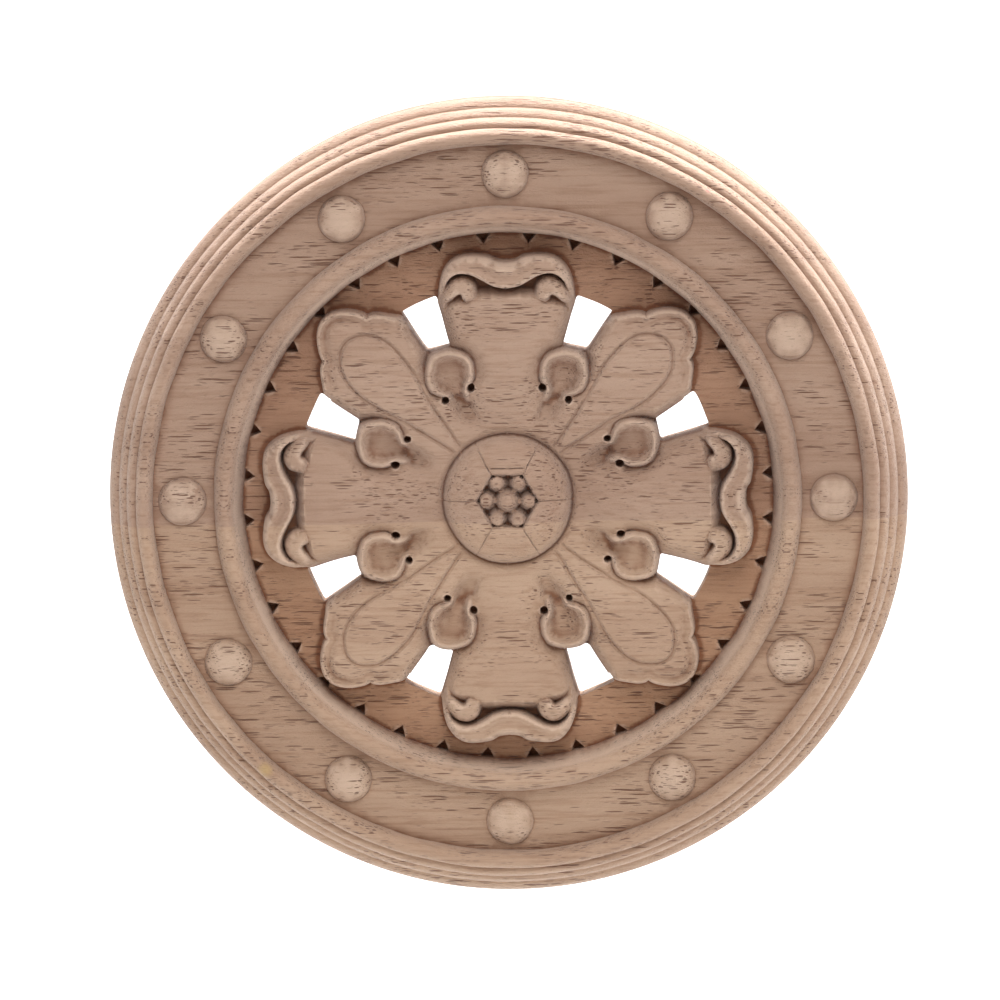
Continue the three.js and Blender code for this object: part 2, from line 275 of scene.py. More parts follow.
@dataclass
class Feature:
    """Line of the carving that the mesh follows.

    Attributes:
        line: Points of the line.
        rows: Distances to its right at which more rows of points run along it.
        creases: Which of these rows are edges of the mesh too.
    """

    line: np.ndarray
    rows: tuple[float, ...] = ()
    creases: tuple[float, ...] = (0.0,)

    def offset(self, distance: float) -> np.ndarray:
        """The line moved sideways.

        Args:
            distance: How far it moves, positive to its right.

        Returns:
            The moved line's points.
        """
        run = np.gradient(self.line, axis=0)
        run /= np.hypot(*run.T)[:, None]
        return self.line + distance * np.column_stack([run[:, 1], -run[:, 0]])


@dataclass
class Flower:
    """The flower and the floor in one eighth of the plan, from the +Y axis to 45 degrees.

    The fields named for corners hold the given corners of each line, and the fields without
    a default hold the smooth lines through them.

    Attributes:
        moulding: The shared sizes.
        spoon_sections: Middle line of the leaf: x, y, half-width and depth.
        spoon_crest: Height of the leaf's crest at places up the plan.
        drills: Drill marks beside the leaf: x, y and radius.
        root_height: Height of the petals beside the button.
        narrow_height: Height of the narrow petal.
        broad_height: Height of the broad petal.
        curl_height: Height of the curl over the narrow petal's tip.
        gutter_height: Height of the gutter under the curl.
        pit_height: Height of the pits between the tongues' ends.
        drill_height: Height of the drill marks' bottoms.
        drill_stretch: How much taller than wide the drill marks are.
        tongue: Angle that a tongue of the floor takes up, in degrees.
    """

    moulding: Moulding = Moulding()

    # Narrow petal: its side beside the leaf and the opening, and the end of its body
    narrow_side_corners: Rows = (
        (9.3, 27.2), (8.9, 28.0), (7.9, 29.4), (7.6, 31.3), (7.85, 33.0), (8.4, 34.6), (9.5, 35.9),
        (10.9, 36.8), (12.7, 37.4), (13.9, 38.2), (15.1, 42.0), (16.4, 46.4), (17.6, 50.6),
    )
    narrow_end_corners: Rows = (
        (-2.0, 51.6), (0.0, 51.6), (4.0, 51.6), (7.0, 51.4), (8.4, 50.6), (9.8, 50.0), (12.0, 49.8),
        (13.6, 49.3), (14.9, 48.3), (15.6, 46.9),
    )

    # Curl over the narrow petal's tip, and the scroll under it
    curl_outer_corners: Rows = (
        (-2.5, 59.5), (0.0, 59.2), (2.5, 59.5), (4.5, 60.6), (8.0, 61.1), (10.4, 61.0),
        (12.4, 60.4),
        (14.0, 59.2), (15.3, 57.4), (16.0, 55.6), (16.5, 53.6), (16.8, 51.6), (16.9, 50.4),
    )
    curl_arris_corners: Rows = (
        (-2.6, 54.0), (0.0, 53.6), (2.6, 54.0), (4.0, 54.6), (6.0, 55.8), (8.0, 56.8), (10.0, 57.3),
        (12.0, 57.2), (13.6, 56.4), (14.8, 55.2), (15.7, 53.5), (16.15, 52.0), (16.4, 50.4),
    )
    scroll_corners: Rows = (
        (15.9, 48.4), (15.8, 50.8), (15.3, 52.6), (14.5, 53.9), (13.3, 55.0), (11.9, 55.6),
        (10.4, 55.7), (8.9, 55.1), (7.8, 54.0), (7.3, 52.4), (7.5, 50.9), (8.4, 50.0), (9.7, 49.8),
        (10.5, 50.5), (10.8, 51.2), (11.3, 51.5), (12.1, 51.3), (13.0, 50.7), (14.0, 49.9),
        (14.8, 49.3), (15.3, 48.2),
    )

    # Broad petal: its side, its tip over the floor, and the tear-shaped groove on it
    broad_side_corners: Rows = (
        (15.0, 24.6), (16.3, 25.6), (17.9, 26.4), (19.3, 28.0), (20.05, 30.3), (20.4, 33.4),
        (20.3, 35.6), (20.2, 36.9), (22.6, 40.6), (24.6, 43.6), (26.4, 46.3),
    )
    broad_tip_corners: Rows = (
        (25.4, 44.6), (26.3, 45.5), (27.5, 45.8), (28.7, 45.9), (30.0, 46.1), (32.3, 46.4),
        (34.0, 46.2), (34.75, 45.7), (35.4, 46.2), (36.6, 46.7), (38.8, 47.2), (40.6, 47.3),
        (42.6, 47.0), (44.3, 46.3), (45.4, 45.4), (46.3, 44.3), (46.9, 43.0),
    )
    tear_corners: Rows = (
        (11.4, 13.1), (12.5, 14.3), (14.5, 17.4), (16.6, 20.7), (18.2, 23.2), (19.9, 25.8),
        (21.3, 28.4), (22.4, 30.5), (23.6, 32.6), (25.3, 35.1), (27.1, 37.2), (28.8, 38.8),
        (30.6, 40.1), (32.6, 41.0), (34.7, 41.3), (36.9, 41.2), (38.5, 40.7), (39.8, 39.8),
        (40.7, 38.5),
    )

    # Spoon-shaped leaf: its crest around the bowl and down both banks of the valley
    spoon_corners: Rows = (
        (9.2, 20.0), (9.5, 22.0), (9.7, 24.0), (10.1, 26.0), (10.4, 27.6), (10.1, 28.9),
        (9.5, 29.9),
        (9.15, 31.2), (9.2, 32.8), (9.6, 34.2), (10.4, 35.3), (11.7, 36.0), (13.5, 36.4),
        (15.4, 36.45), (17.2, 36.0), (18.5, 34.8), (19.1, 33.2), (19.4, 31.3), (19.2, 29.4),
        (18.4, 27.9), (17.1, 27.1), (15.7, 26.7), (14.5, 26.2), (13.7, 25.1), (13.0, 23.8),
        (12.0, 22.3), (10.8, 20.9), (9.7, 19.7),
    )
    # From the bowl down the valley
    spoon_sections: Rows = (
        (14.0, 31.5, 5.4, 4.1), (13.6, 29.6, 4.8, 4.5), (12.8, 27.6, 3.9, 4.3),
        (11.9, 25.6, 3.5, 3.6),
        (10.9, 23.4, 3.3, 2.7), (9.8, 21.0, 2.9, 1.6), (8.6, 18.0, 2.4, 0.0),
    )
    spoon_crest: Rows = ((19.5, 13.2), (22.0, 13.8), (25.0, 14.7), (27.0, 15.5), (29.0, 15.9))
    drills: Rows = ((8.87, 28.0, 1.05), (15.2, 24.9, 0.92))

    opening_corners: Rows = ((13.9, 38.2), (17.6, 50.6), (26.5, 46.5), (19.9, 36.9))

    root_height: float = 12.6
    narrow_height: float = 16.2
    broad_height: float = 15.6
    curl_height: float = 18.4
    gutter_height: float = 10.2
    pit_height: float = 3.4
    drill_height: float = 8.4
    drill_stretch: float = 1.12
    tongue: float = 10.0

    narrow_side: np.ndarray = field(init=False)
    narrow_end: np.ndarray = field(init=False)
    curl_outer: np.ndarray = field(init=False)
    curl_arris: np.ndarray = field(init=False)
    scroll: np.ndarray = field(init=False)
    scroll_turn: int = field(init=False)
    broad_side: np.ndarray = field(init=False)
    broad_tip: np.ndarray = field(init=False)
    tear: np.ndarray = field(init=False)
    spoon: np.ndarray = field(init=False)
    spoon_middle: np.ndarray = field(init=False)
    opening: np.ndarray = field(init=False)

    def __post_init__(self) -> None:
        """Draw the smooth lines through the corners."""
        self.narrow_side = np.vstack([
            smooth_line(self.narrow_side_corners[:10]),
            even_line(self.narrow_side_corners[9:], 0.5)[1:]])
        self.narrow_end = smooth_line(self.narrow_end_corners)
        self.curl_outer = smooth_line(self.curl_outer_corners)
        self.curl_arris = Feature(smooth_line(self.curl_arris_corners)).offset(0.5)
        self.scroll = smooth_line(self.scroll_corners, 0.4, closed=True)[:-1]
        self.scroll_turn = int(self.scroll[:, 0].argmin())
        self.broad_side = np.vstack([
            smooth_line(self.broad_side_corners[:8]),
            even_line(self.broad_side_corners[7:], 0.5)[1:]])
        self.broad_tip = np.vstack([
            smooth_line(self.broad_tip_corners[:8], 0.45),
            smooth_line(self.broad_tip_corners[7:], 0.45)[1:]])
        self.tear = smooth_line(self.tear_corners)
        self.spoon = smooth_line(self.spoon_corners, 0.45, closed=True)[:-1]
        self.spoon_middle = np.array(self.spoon_sections)[:, :2]
        self.opening = self.rounded_opening()

    def rounded_opening(self) -> np.ndarray:
        """Loop of one opening, its corners rounded and its outer edge on an arc.

        Returns:
            Corners of the loop, the first one not repeated.
        """
        a, b, c, d = (np.array(corner) for corner in self.opening_corners)
        turns = np.linspace(math.atan2(b[1], b[0]), math.atan2(c[1], c[0]), 9)
        reach = math.hypot(*b)
        arc = [(reach * math.cos(turn), reach * math.sin(turn)) for turn in turns[1:-1]]
        corners = [a, b, *map(np.array, arc), c, d]
        rounded = {0, 1, len(corners) - 2, len(corners) - 1}
        loop = []
        for i, corner in enumerate(corners):
            if i not in rounded:
                loop.append(corner)
                continue
            before, after = corners[i - 1], corners[(i + 1) % len(corners)]
            cut_in = corner + 0.55 * (before - corner) / math.dist(before, corner)
            cut_out = corner + 0.55 * (after - corner) / math.dist(after, corner)
            loop += [cut_in, 0.25 * cut_in + 0.5 * corner + 0.25 * cut_out, cut_out]
        return even_line(loop + [loop[0]], 0.5)[:-1]

    def features(self) -> list[Feature]:
        """The lines that the mesh of the flower follows, in the order in which it takes them up."""
        return [*self.cut_lines(), *self.petal_lines(), *self.floor_lines()]

    def cut_lines(self) -> list[Feature]:
        """Lines of the opening and the drill marks.

        Returns:
            One loop for each.
        """
        lines = [Feature(np.vstack([self.opening, self.opening[:1]]), (-0.45, -1.0, -1.7, -2.5))]
        turn = np.linspace(0, 2 * math.pi, 17)
        for x, y, radius in self.drills:
            ring = np.column_stack([
                x + radius * np.cos(turn), y + self.drill_stretch * radius * np.sin(turn)])
            lines.append(Feature(ring, (0.22, 0.55, -0.3), (0.0, 0.22)))
        return lines

    def petal_lines(self) -> list[Feature]:
        """Lines of the petals, the curl, the scroll and the leaf.

        Returns:
            The lines, the petals' tips first.
        """
        scroll = np.vstack([self.scroll, self.scroll[:1]])
        spoon = np.vstack([self.spoon, self.spoon[:1]])
        tip_rows = (-0.9, -0.3, 0.1, 0.35, 0.7, 1.2, 1.7, 2.2, 2.8, 3.5)
        return [
            Feature(self.broad_tip, tip_rows, (-0.3, 0.1)),
            Feature(self.curl_outer, (-0.9, -0.3, 0.1, 0.5, 1.0, 1.5, 2.1), (-0.3, 0.1)),
            Feature(self.curl_arris, (-0.3, -0.65, -1.05, -1.5, -2.1, -2.7, 0.4, 0.9), (0.0, 0.4)),
            Feature(scroll, (-0.45, -0.9, 0.35, 0.75, 1.2), (0.0, -0.45)),
            Feature(self.narrow_end, (-0.5, 0.5, 1.0, 1.6, 2.3)),
            Feature(self.narrow_side, (-0.4, -0.9, -1.5, -2.2, -3.0, -3.9, 0.3)),
            Feature(self.broad_side, (0.4, 0.9, 1.5, 2.1, 2.8, -0.35)),
            Feature(self.tear, (-0.35, 0.35, 0.72, -0.72, 1.2, -1.2)),
            Feature(spoon, (-0.4, -0.8, -1.2, 0.35, 0.8, 1.4)),
        ]

    def floor_lines(self) -> list[Feature]:
        """Lines around the button, between the tongues, around the pits and along the ring.

        Returns:
            The lines from the button outwards.
        """
        around = np.radians(np.arange(45, 90.1, 1.5))
        lines = [Feature(circle(self.moulding.button + out, around)) for out in (0.3, 0.75, 1.3)]
        inner = self.moulding.ring_inner
        for turn in np.radians(np.arange(45, 90, self.tongue)):
            aim = np.array([math.cos(turn), math.sin(turn)])
            across = np.array([-aim[1], aim[0]])
            lines.append(Feature(even_line([54.5 * aim, 63.9 * aim], 0.8), (-0.5, 0.5, 1.1, -1.1)))
            for side in (-1, 1):
                if side < 0 and turn < math.radians(46):
                    continue
                foot = (inner - 0.15) * aim + side * 1.75 * across
                lines.append(Feature(even_line([63.7 * aim, foot], 0.5), (-0.3, 0.3)))
        turns = np.radians(np.arange(45, 90.25, 0.5))
        return lines + [Feature(circle(reach, turns)) for reach in (inner, 66.45, 66.8)]

    def crown(self, radius: np.ndarray, full: float) -> np.ndarray:
        """Height of a petal's crown at a radius, rising from the root to its full height."""
        share = np.clip((radius - self.moulding.button) / 30, 0, 1)
        return self.root_height + (full - self.root_height) * np.sin(share * math.pi / 2)

    def petals(self, points: np.ndarray) -> np.ndarray:
        """Heights of the petals' tops, falling away on both sides of each.

        Args:
            points: Array of (x, y) rows in this eighth.

        Returns:
            The heights, one for each point.
        """
        x, y = points.T
        radius = np.hypot(x, y)
        aside, _ = to_line(points, self.narrow_side)
        spread = ramp(radius, 17, 26)
        beside_leaf = np.interp(y, (27.0, 30, 34, 37, 41), (0, 1.4, 1.8, 2.8, 3.9))
        narrow = self.crown(y, self.narrow_height) - 1.9 * spread * (x / (0.36 * y)) ** 2.4
        narrow -= beside_leaf * edge_fall(-aside, 3.8)
        narrow -= 2.2 * ramp(y, 28.0, 29.5) * np.clip(aside, 0, 5)

        along, across = (x + y) / math.sqrt(2), (y - x) / math.sqrt(2)
        aside, _ = to_line(points, self.broad_side)
        beside_leaf = np.interp(y, (24.2, 26.4, 30, 33, 37, 46), (0, 1.5, 2.2, 3.0, 3.3, 2.4))
        broad = self.crown(along, self.broad_height) - 1.3 * spread * (across / (0.36 * along)) ** 2
        broad -= beside_leaf * edge_fall(aside, 2.7)
        broad -= 2.2 * ramp(y, 24.8, 26.5) * np.clip(-aside, 0, 5)
        broad = self.tear_panel(points, self.lip(points, broad))
        return np.maximum(narrow, broad)

    def tear_panel(self, points: np.ndarray, height: np.ndarray) -> np.ndarray:
        """The broad petal's height with the tear-shaped groove and the panel inside it.

        Args:
            points: Array of (x, y) rows in this eighth.
            height: Heights at the points so far.

        Returns:
            The heights, one for each point.
        """
        aside, _ = to_line(points, self.tear)
        groove = 0.65 * bulge(aside / 0.7) ** 1.6
        panel = 0.35 * (1 - edge_fall(aside, 1.6)) * (aside > 0)
        return height - groove + panel * ramp(np.hypot(*points.T), 17, 24)

    def lip(self, points: np.ndarray, height: np.ndarray) -> np.ndarray:
        """The broad petal's height with the hollow behind the lip of its tip.

        Args:
            points: Array of (x, y) rows in this eighth.
            height: Heights at the points so far.

        Returns:
            The heights, one for each point.
        """
        depth, _ = to_line(points, self.broad_tip)
        strength = ramp(points[:, 0], 26.5, 30.5)
        corner = 0.85 + 0.55 * ramp(points.sum(1), 83, 88)
        hollow = corner * bulge((depth - 2.1) / 1.8) ** 2
        return height - strength * hollow - 1.5 * edge_fall(depth, 0.75)

    def leaf(self, points: np.ndarray, petals: np.ndarray) -> np.ndarray:
        """Heights with the spoon-shaped leaf between two petals.

        Args:
            points: Array of (x, y) rows in this eighth.
            petals: Heights of the petals' tops at the points.

        Returns:
            The heights, one for each point.
        """
        y = points[:, 1]
        depth = within(points, self.spoon)
        bowl = ramp(y, 23.4, 26.6)
        crest = np.interp(y, *np.array(self.spoon_crest).T)
        top = petals * (1 - bowl) + crest * bowl
        away, along = to_line(points, self.spoon_middle)
        width, deep = (np.interp(along, np.linspace(0, 1, len(self.spoon_sections)), column)
                       for column in np.array(self.spoon_sections).T[2:])
        cup = deep * (1 - np.clip(away / width, -1, 1) ** 2) ** (1.6 - 0.5 * bowl)
        held = bowl * np.clip(depth / 0.9, 0, 1) ** 0.8 + 1 - bowl
        beyond = crest - 2.6 * (np.clip(-depth, 0, None) / 1.1) ** 2
        beyond = beyond * bowl + petals * (1 - bowl)
        outside = (petals + beyond + np.hypot(petals - beyond, 0.2 * bowl)) / 2
        return np.where(depth >= 0, top - cup * held, outside - cup * (1 - bowl))

    def tip(self, points: np.ndarray, petals: np.ndarray) -> np.ndarray:
        """Heights of the narrow petal's tip: gutter, curl and scroll.

        Args:
            points: Array of (x, y) rows in this eighth.
            petals: Heights of the petals' tops at the points.

        Returns:
            The heights, one for each point.
        """
        x, y = points.T
        past_end, _ = to_line(points, self.narrow_end)
        share = np.clip((1.0 - past_end) / 2.6, 0, 1)
        body = petals - (petals - self.gutter_height) * share**1.4
        strip = ramp(x, 15.1, 15.7)
        height = np.where(y > 45, body * (1 - strip) + petals * strip, petals)

        scroll = within(points, self.scroll)
        outer, _ = to_line(points, self.scroll[:self.scroll_turn])
        top = 17.3 - 0.9 * edge_fall(scroll, 0.9) - 1.6 * edge_fall(np.abs(outer), 3.0)
        top = top - 1.8 * ramp(y, 51, 48.5)
        share = np.clip((scroll + 0.45) / 0.45, 0, 1)
        raised = np.maximum(height, height + (top - height) * share)
        height = np.where(scroll > -0.45, raised, height)

        aside, along = to_line(points, self.curl_arris)
        past_arris = -aside
        outer, _ = to_line(points, self.curl_outer)
        top = self.curl_height * (1 - 0.16 * ramp(along, 0.78, 1.0))
        wide = ramp(past_arris + outer, 1.8, 4.5)
        groove = 0.75 * wide * bulge((past_arris - 2.3) / 1.7) ** 2
        top = top - 0.7 * edge_fall(past_arris, 0.6) - groove - 3.6 * edge_fall(outer, 2.0)
        share = np.clip((past_arris + 0.35) / 0.35, 0, 1)
        near = (y > 50.4) & (past_arris > -0.35)
        raised = np.maximum(height, height + (top - height) * share)
        return np.where(near, raised, height)

    def drilled(self, points: np.ndarray, height: np.ndarray) -> np.ndarray:
        """Heights with the drill marks beside the leaf.

        Args:
            points: Array of (x, y) rows in this eighth.
            height: Heights at the points so far.

        Returns:
            The heights, one for each point.
        """
        for x, y, radius in self.drills:
            reach = np.hypot(points[:, 0] - x, (points[:, 1] - y) / self.drill_stretch)
            share = np.clip((radius - reach) / 0.22, 0, 1)
            height = height * (1 - share) + self.drill_height * share
        return height

    def floor(self, points: np.ndarray) -> np.ndarray:
        """Heights of the floor's tongues and of the pits between their ends.

        Args:
            points: Array of (x, y) rows in this eighth.

        Returns:
            The heights, one for each point.
        """
        radius = np.hypot(*points.T)
        turn = np.degrees(np.arctan2(points[:, 0], points[:, 1]))
        half = self.tongue / 2
        across = np.abs((turn + half) % self.tongue - half) / half
        end = self.moulding.ring_inner - 2.5 * np.clip((across - 0.70) / 0.30, 0, 1)
        tongue = self.moulding.floor - 0.4 * across**3 - 0.3 * edge_fall(end - radius, 1.6)
        pit = np.clip((radius - end) / 0.3, 0, 1) * ramp(across, 0.68, 0.73)
        return tongue * (1 - pit) + self.pit_height * pit

    def height(self, points: np.ndarray) -> np.ndarray:
        """Heights at points of this eighth of the plan.

        Args:
            points: Array of (x, y) rows in this eighth.

        Returns:
            The heights, one for each point.
        """
        x, y = points.T
        radius = np.hypot(x, y)
        petals = self.petals(points)
        top = self.drilled(points, self.tip(points, self.leaf(points, petals)))
        depth_narrow, _ = to_line(points, self.curl_outer)
        depth_broad, _ = to_line(points, self.broad_tip)
        over_narrow = (x < 17.2) & (y > 38)
        past_opening = points @ np.array([0.414, 0.91]) > 53.0
        depth_tip = np.where(y > 50.4, depth_narrow, (16.9 - x) + 1.0)
        depth = np.where(over_narrow, depth_tip, depth_broad)
        depth = np.where(radius < 50, 5.0, depth)
        between = past_opening & (x >= 16.9) & (x < 26.0)
        depth = np.where(between, -5.0, depth)
        share = np.clip((depth + 0.3) / 0.4, 0, 1)
        floor = self.floor(points)
        height = floor + (top - floor) * share
        height = height - 1.7 * edge_fall(radius - self.moulding.button, 1.8)
        on_ring = radius > self.moulding.ring_inner + 0.01
        return np.where(on_ring, self.moulding.height(radius), height)


@dataclass(frozen=True)
class Button:
    """The domed button and its six-sided socket.

    Attributes:
        moulding: The shared sizes.
        apothem: Distance of the socket's sides from the centre.
        socket_height: Height of the socket's floor around the seeds.
        pit_height: Height of the small pits between the seeds.
        seeds: Seed on the first axis and middle seed: x, y, radius and height of the centre.
    """

    moulding: Moulding = Moulding()
    apothem: float = 6.65
    socket_height: float = 16.3
    pit_height: float = 13.9
    seeds: Rows = ((5.3, 0.0, 1.85, 16.5), (0.0, 0.0, 2.65, 15.9))

    def features(self) -> list[Feature]:
        """The lines that the mesh follows in one twelfth of the plan.

        Returns:
            Lines of the socket, the line beside it, the seeds and the edge.
        """
        low = Vector((self.apothem / math.cos(math.pi / 6), 0))
        high = Vector((self.apothem * math.cos(math.pi / 6), self.apothem / 2))
        rows = (-0.35, 0.4, 0.9, 1.5, 1.7, 1.85, 2.1, -0.8)
        lines = [Feature(even_line([low, high], 0.5), rows, (0.0, -0.35))]
        lines.append(Feature(even_line([(8.3, 0.25), (15.6, 0.25)], 0.5), (-0.6,)))
        for x, y, radius, _ in self.seeds:
            for share in (1.0, 0.9, 0.72, 0.5, 0.25):
                count = max(8, round(12 * radius * share))
                turn = np.linspace(0, 2 * math.pi, count + 1)
                reach = radius * share
                ring = np.column_stack([x + reach * np.cos(turn), y + reach * np.sin(turn)])
                rows, creases = ((-0.12,), (0.0, -0.12)) if share == 1.0 else ((), ())
                lines.append(Feature(ring, rows, creases))
        turn = np.radians(np.arange(0, 31, 1.5))
        return lines + [Feature(circle(radius, turn)) for radius in (15.2, 15.6, 14.6)]

    def height(self, points: np.ndarray) -> np.ndarray:
        """Heights anywhere on the button.

        Args:
            points: Array of (x, y) rows.

        Returns:
            The heights, one for each point.
        """
        radius = np.hypot(*points.T)
        turn = np.degrees(np.arctan2(points[:, 1], points[:, 0]))
        fold = np.radians(np.abs((turn + 30) % 60 - 30))
        folded = radius[:, None] * np.column_stack([np.cos(fold), np.sin(fold)])
        edge = self.moulding.button
        dome = 14.5 + 4.0 * (1 - (radius / edge) ** 2.8) - 2.4 * edge_fall(edge - radius, 2.0)
        line = 0.4 * np.clip(1 - folded[:, 1] / 0.25, 0, 1) * ramp(radius, 7.6, 8.0)
        reach = folded @ np.array([math.cos(math.pi / 6), math.sin(math.pi / 6)])
        bevel = 0.5 * edge_fall(reach - self.apothem, 0.5)
        share = np.clip((self.apothem - reach) / 0.35, 0, 1)
        pit = np.hypot((reach - 4.75) / 2.2, (radius * np.sin(fold - math.pi / 6)) / 1.45)
        corner = np.hypot(*(folded - np.array([7.15, 0.0])).T) / 0.5
        sunk = self.socket_height - self.pit_height
        socket = self.socket_height - sunk * ramp(-pit, -1.0, -0.75)
        socket = socket - 1.6 * ramp(-corner, -1.0, -0.6)
        upper = np.abs(turn - 90) < 30
        step, lip = (8.5 - reach) / 0.15, 1 - np.abs(reach - 8.35) / 0.2
        ledge = 0.35 * np.clip(step, 0, 1) + 0.35 * np.clip(lip, 0, 1)
        height = (dome - line - bevel - upper * ledge) * (1 - share) + socket * share
        for x, y, size, centre in self.seeds:
            away = np.hypot(folded[:, 0] - x, folded[:, 1] - y) / size
            ball = centre + size * np.sqrt(np.clip(1 - away**2, 0, 1))
            height = np.where(away < 1.0001, np.maximum(ball, height), height)
        return height


@dataclass
class Plan:
    """Flat mesh of the plan.

    Attributes:
        points: Array of (x, y) rows.
        faces: Faces as tuples of places in points.
    """

    points: np.ndarray
    faces: list = field(default_factory=list)

    @classmethod
    def wedge(cls, outline: np.ndarray, features: list[Feature], spacing: float,
              gap: float = 0.24) -> "Plan":
        """Triangles over a closed outline that follow the features in it.

        Args:
            outline: Loop around the wedge.
            features: Lines that the triangles follow.
            spacing: Distance between the points where there is no feature.
            gap: Least distance between two points.

        Returns:
            The wedge as a Plan.
        """
        points = [tuple(point) for point in outline]
        edges = [(i, (i + 1) % len(points)) for i in range(len(points))]
        for feature in features:
            for row in dict.fromkeys((*feature.creases, *feature.rows)):
                cls.take_up(feature, row, outline, points, edges, gap)
        tree = cls.tree(points)
        low, high = outline.min(0), outline.max(0)
        rise = spacing * math.sqrt(3) / 2
        fill = np.array([
            (low[0] + (column + 0.5 * (row % 2)) * spacing, low[1] + row * rise)
            for row in range(int((high[1] - low[1]) / rise) + 1)
            for column in range(int((high[0] - low[0]) / spacing) + 1)
        ])
        fill = fill[within(fill, outline) > 0.45 * spacing]
        points += [tuple(place) for place in fill if tree.find((*place, 0))[2] > 0.62 * spacing]
        placed, _, faces, *_ = delaunay_2d_cdt(list(map(Vector, points)), edges, [], 0, ROUNDING)
        placed = np.array([tuple(point) for point in placed])
        faces = np.array([face for face in faces])
        faces = faces[inside(placed[faces].mean(1), outline)]
        return cls(placed, [tuple(face) for face in faces])

    @classmethod
    def take_up(cls, feature: Feature, row: float, outline: np.ndarray, points: list[tuple],
                edges: list[tuple], gap: float) -> None:
        """Add the points of one row along a feature, and its edges where it is a crease.

        Args:
            feature: The line.
            row: Distance of the row from it.
            outline: Loop that the points stay inside.
            points: Points so far, which grow.
            edges: Edges so far, which grow.
            gap: Least distance from the points so far, where the row is no crease.
        """
        crease = row in feature.creases
        line = feature.offset(row) if row else feature.line
        keep = within(line, outline) > (SAME_POINT if crease else CREASE_GAP)
        tree = cls.tree(points)
        last = None
        for place, kept in zip(line, keep):
            found = tree.find((*place, 0))
            if not kept or found[2] < (CREASE_GAP if crease else gap):
                last = found[1] if kept and crease and found[2] < SAME_POINT else None
                continue
            points.append(tuple(place))
            if last is not None and crease:
                edges.append((last, len(points) - 1))
            last = len(points) - 1

    @staticmethod
    def tree(points: list[tuple]) -> kdtree.KDTree:
        """Search tree over points.

        Args:
            points: The (x, y) points.

        Returns:
            The tree, ready to search.
        """
        tree = kdtree.KDTree(len(points))
        for i, point in enumerate(points):
            tree.insert((*point, 0), i)
        tree.balance()
        return tree

    def without(self, loop: np.ndarray) -> "Plan":
        """The plan less the faces inside a loop.

        Args:
            loop: Corners of the loop.

        Returns:
            A new plan with the same points.
        """
        centres = self.points[np.array(self.faces)].mean(1)
        gone = inside(centres, loop)
        return Plan(self.points, [face for face, cut in zip(self.faces, gone) if not cut])

    def repeated(self, symmetry: Symmetry, mirror_axis: float) -> "Plan":
        """The plan turned around the centre and mirrored.

        Args:
            symmetry: How many copies there are.
            mirror_axis: Direction of the mirror line in degrees.

        Returns:
            All copies as one plan, not yet joined.
        """
        points, faces = [], []
        double = 2 * math.radians(mirror_axis)
        mirror = np.array([
            [math.cos(double), math.sin(double)], [math.sin(double), -math.cos(double)]])
        for i in range(symmetry.value):
            angle = 2 * math.pi * i / symmetry.value
            turn = np.array([
                [math.cos(angle), -math.sin(angle)], [math.sin(angle), math.cos(angle)]])
            for flip in (False, True):
                start = len(points) * len(self.points)
                points.append((self.points @ mirror.T if flip else self.points) @ turn.T)
                faces += [
                    tuple(start + k for k in (face[::-1] if flip else face)) for face in self.faces]
        return Plan(np.vstack(points), faces)

    @classmethod
    def rings(cls, radii: list[float], columns: int = 360) -> "Plan":
        """Quads between circles around the centre.

        Args:
            radii: Radii of the circles in their order.
            columns: Number of points on each.

        Returns:
            The rings as a Plan.
        """
        turns = np.arange(columns) * 2 * math.pi / columns
        points = np.vstack([circle(radius, turns) for radius in radii])
        faces = []
        for row in range(len(radii) - 1):
            for column in range(columns):
                a, b = row * columns + column, row * columns + (column + 1) % columns
                faces.append((a, a + columns, b + columns, b) if radii[row] < radii[row + 1]
                             else (a, b, b + columns, a + columns))
        return cls(points, faces)

    @classmethod
    def joined(cls, plans: list["Plan"]) -> "Plan":
        """All plans as one.

        Args:
            plans: Plans that share the points where they meet.

        Returns:
            One plan with equal points merged, and without the slivers on a mirror line, which
            are there twice.
        """
        points, faces = [], []
        for plan in plans:
            start = sum(map(len, points))
            points.append(plan.points)
            faces += [tuple(start + k for k in face) for face in plan.faces]
        stacked = np.vstack(points)
        _, first, inverse = np.unique(np.round(stacked * 1000 + 0.29).astype(np.int64), axis=0,
                                      return_index=True, return_inverse=True)
        inverse = inverse.ravel()
        faces = [tuple(int(inverse[k]) for k in face) for face in faces]
        uses = Counter(tuple(sorted(face)) for face in faces)
        return cls(stacked[first], [face for face in faces if uses[tuple(sorted(face))] == 1])


def arc(radius: float, start: int, end: int) -> np.ndarray:
    """Points on a circle at whole degrees from start to end."""
    step = 1 if end > start else -1
    return circle(radius, np.radians(np.arange(start, end + step, step)))


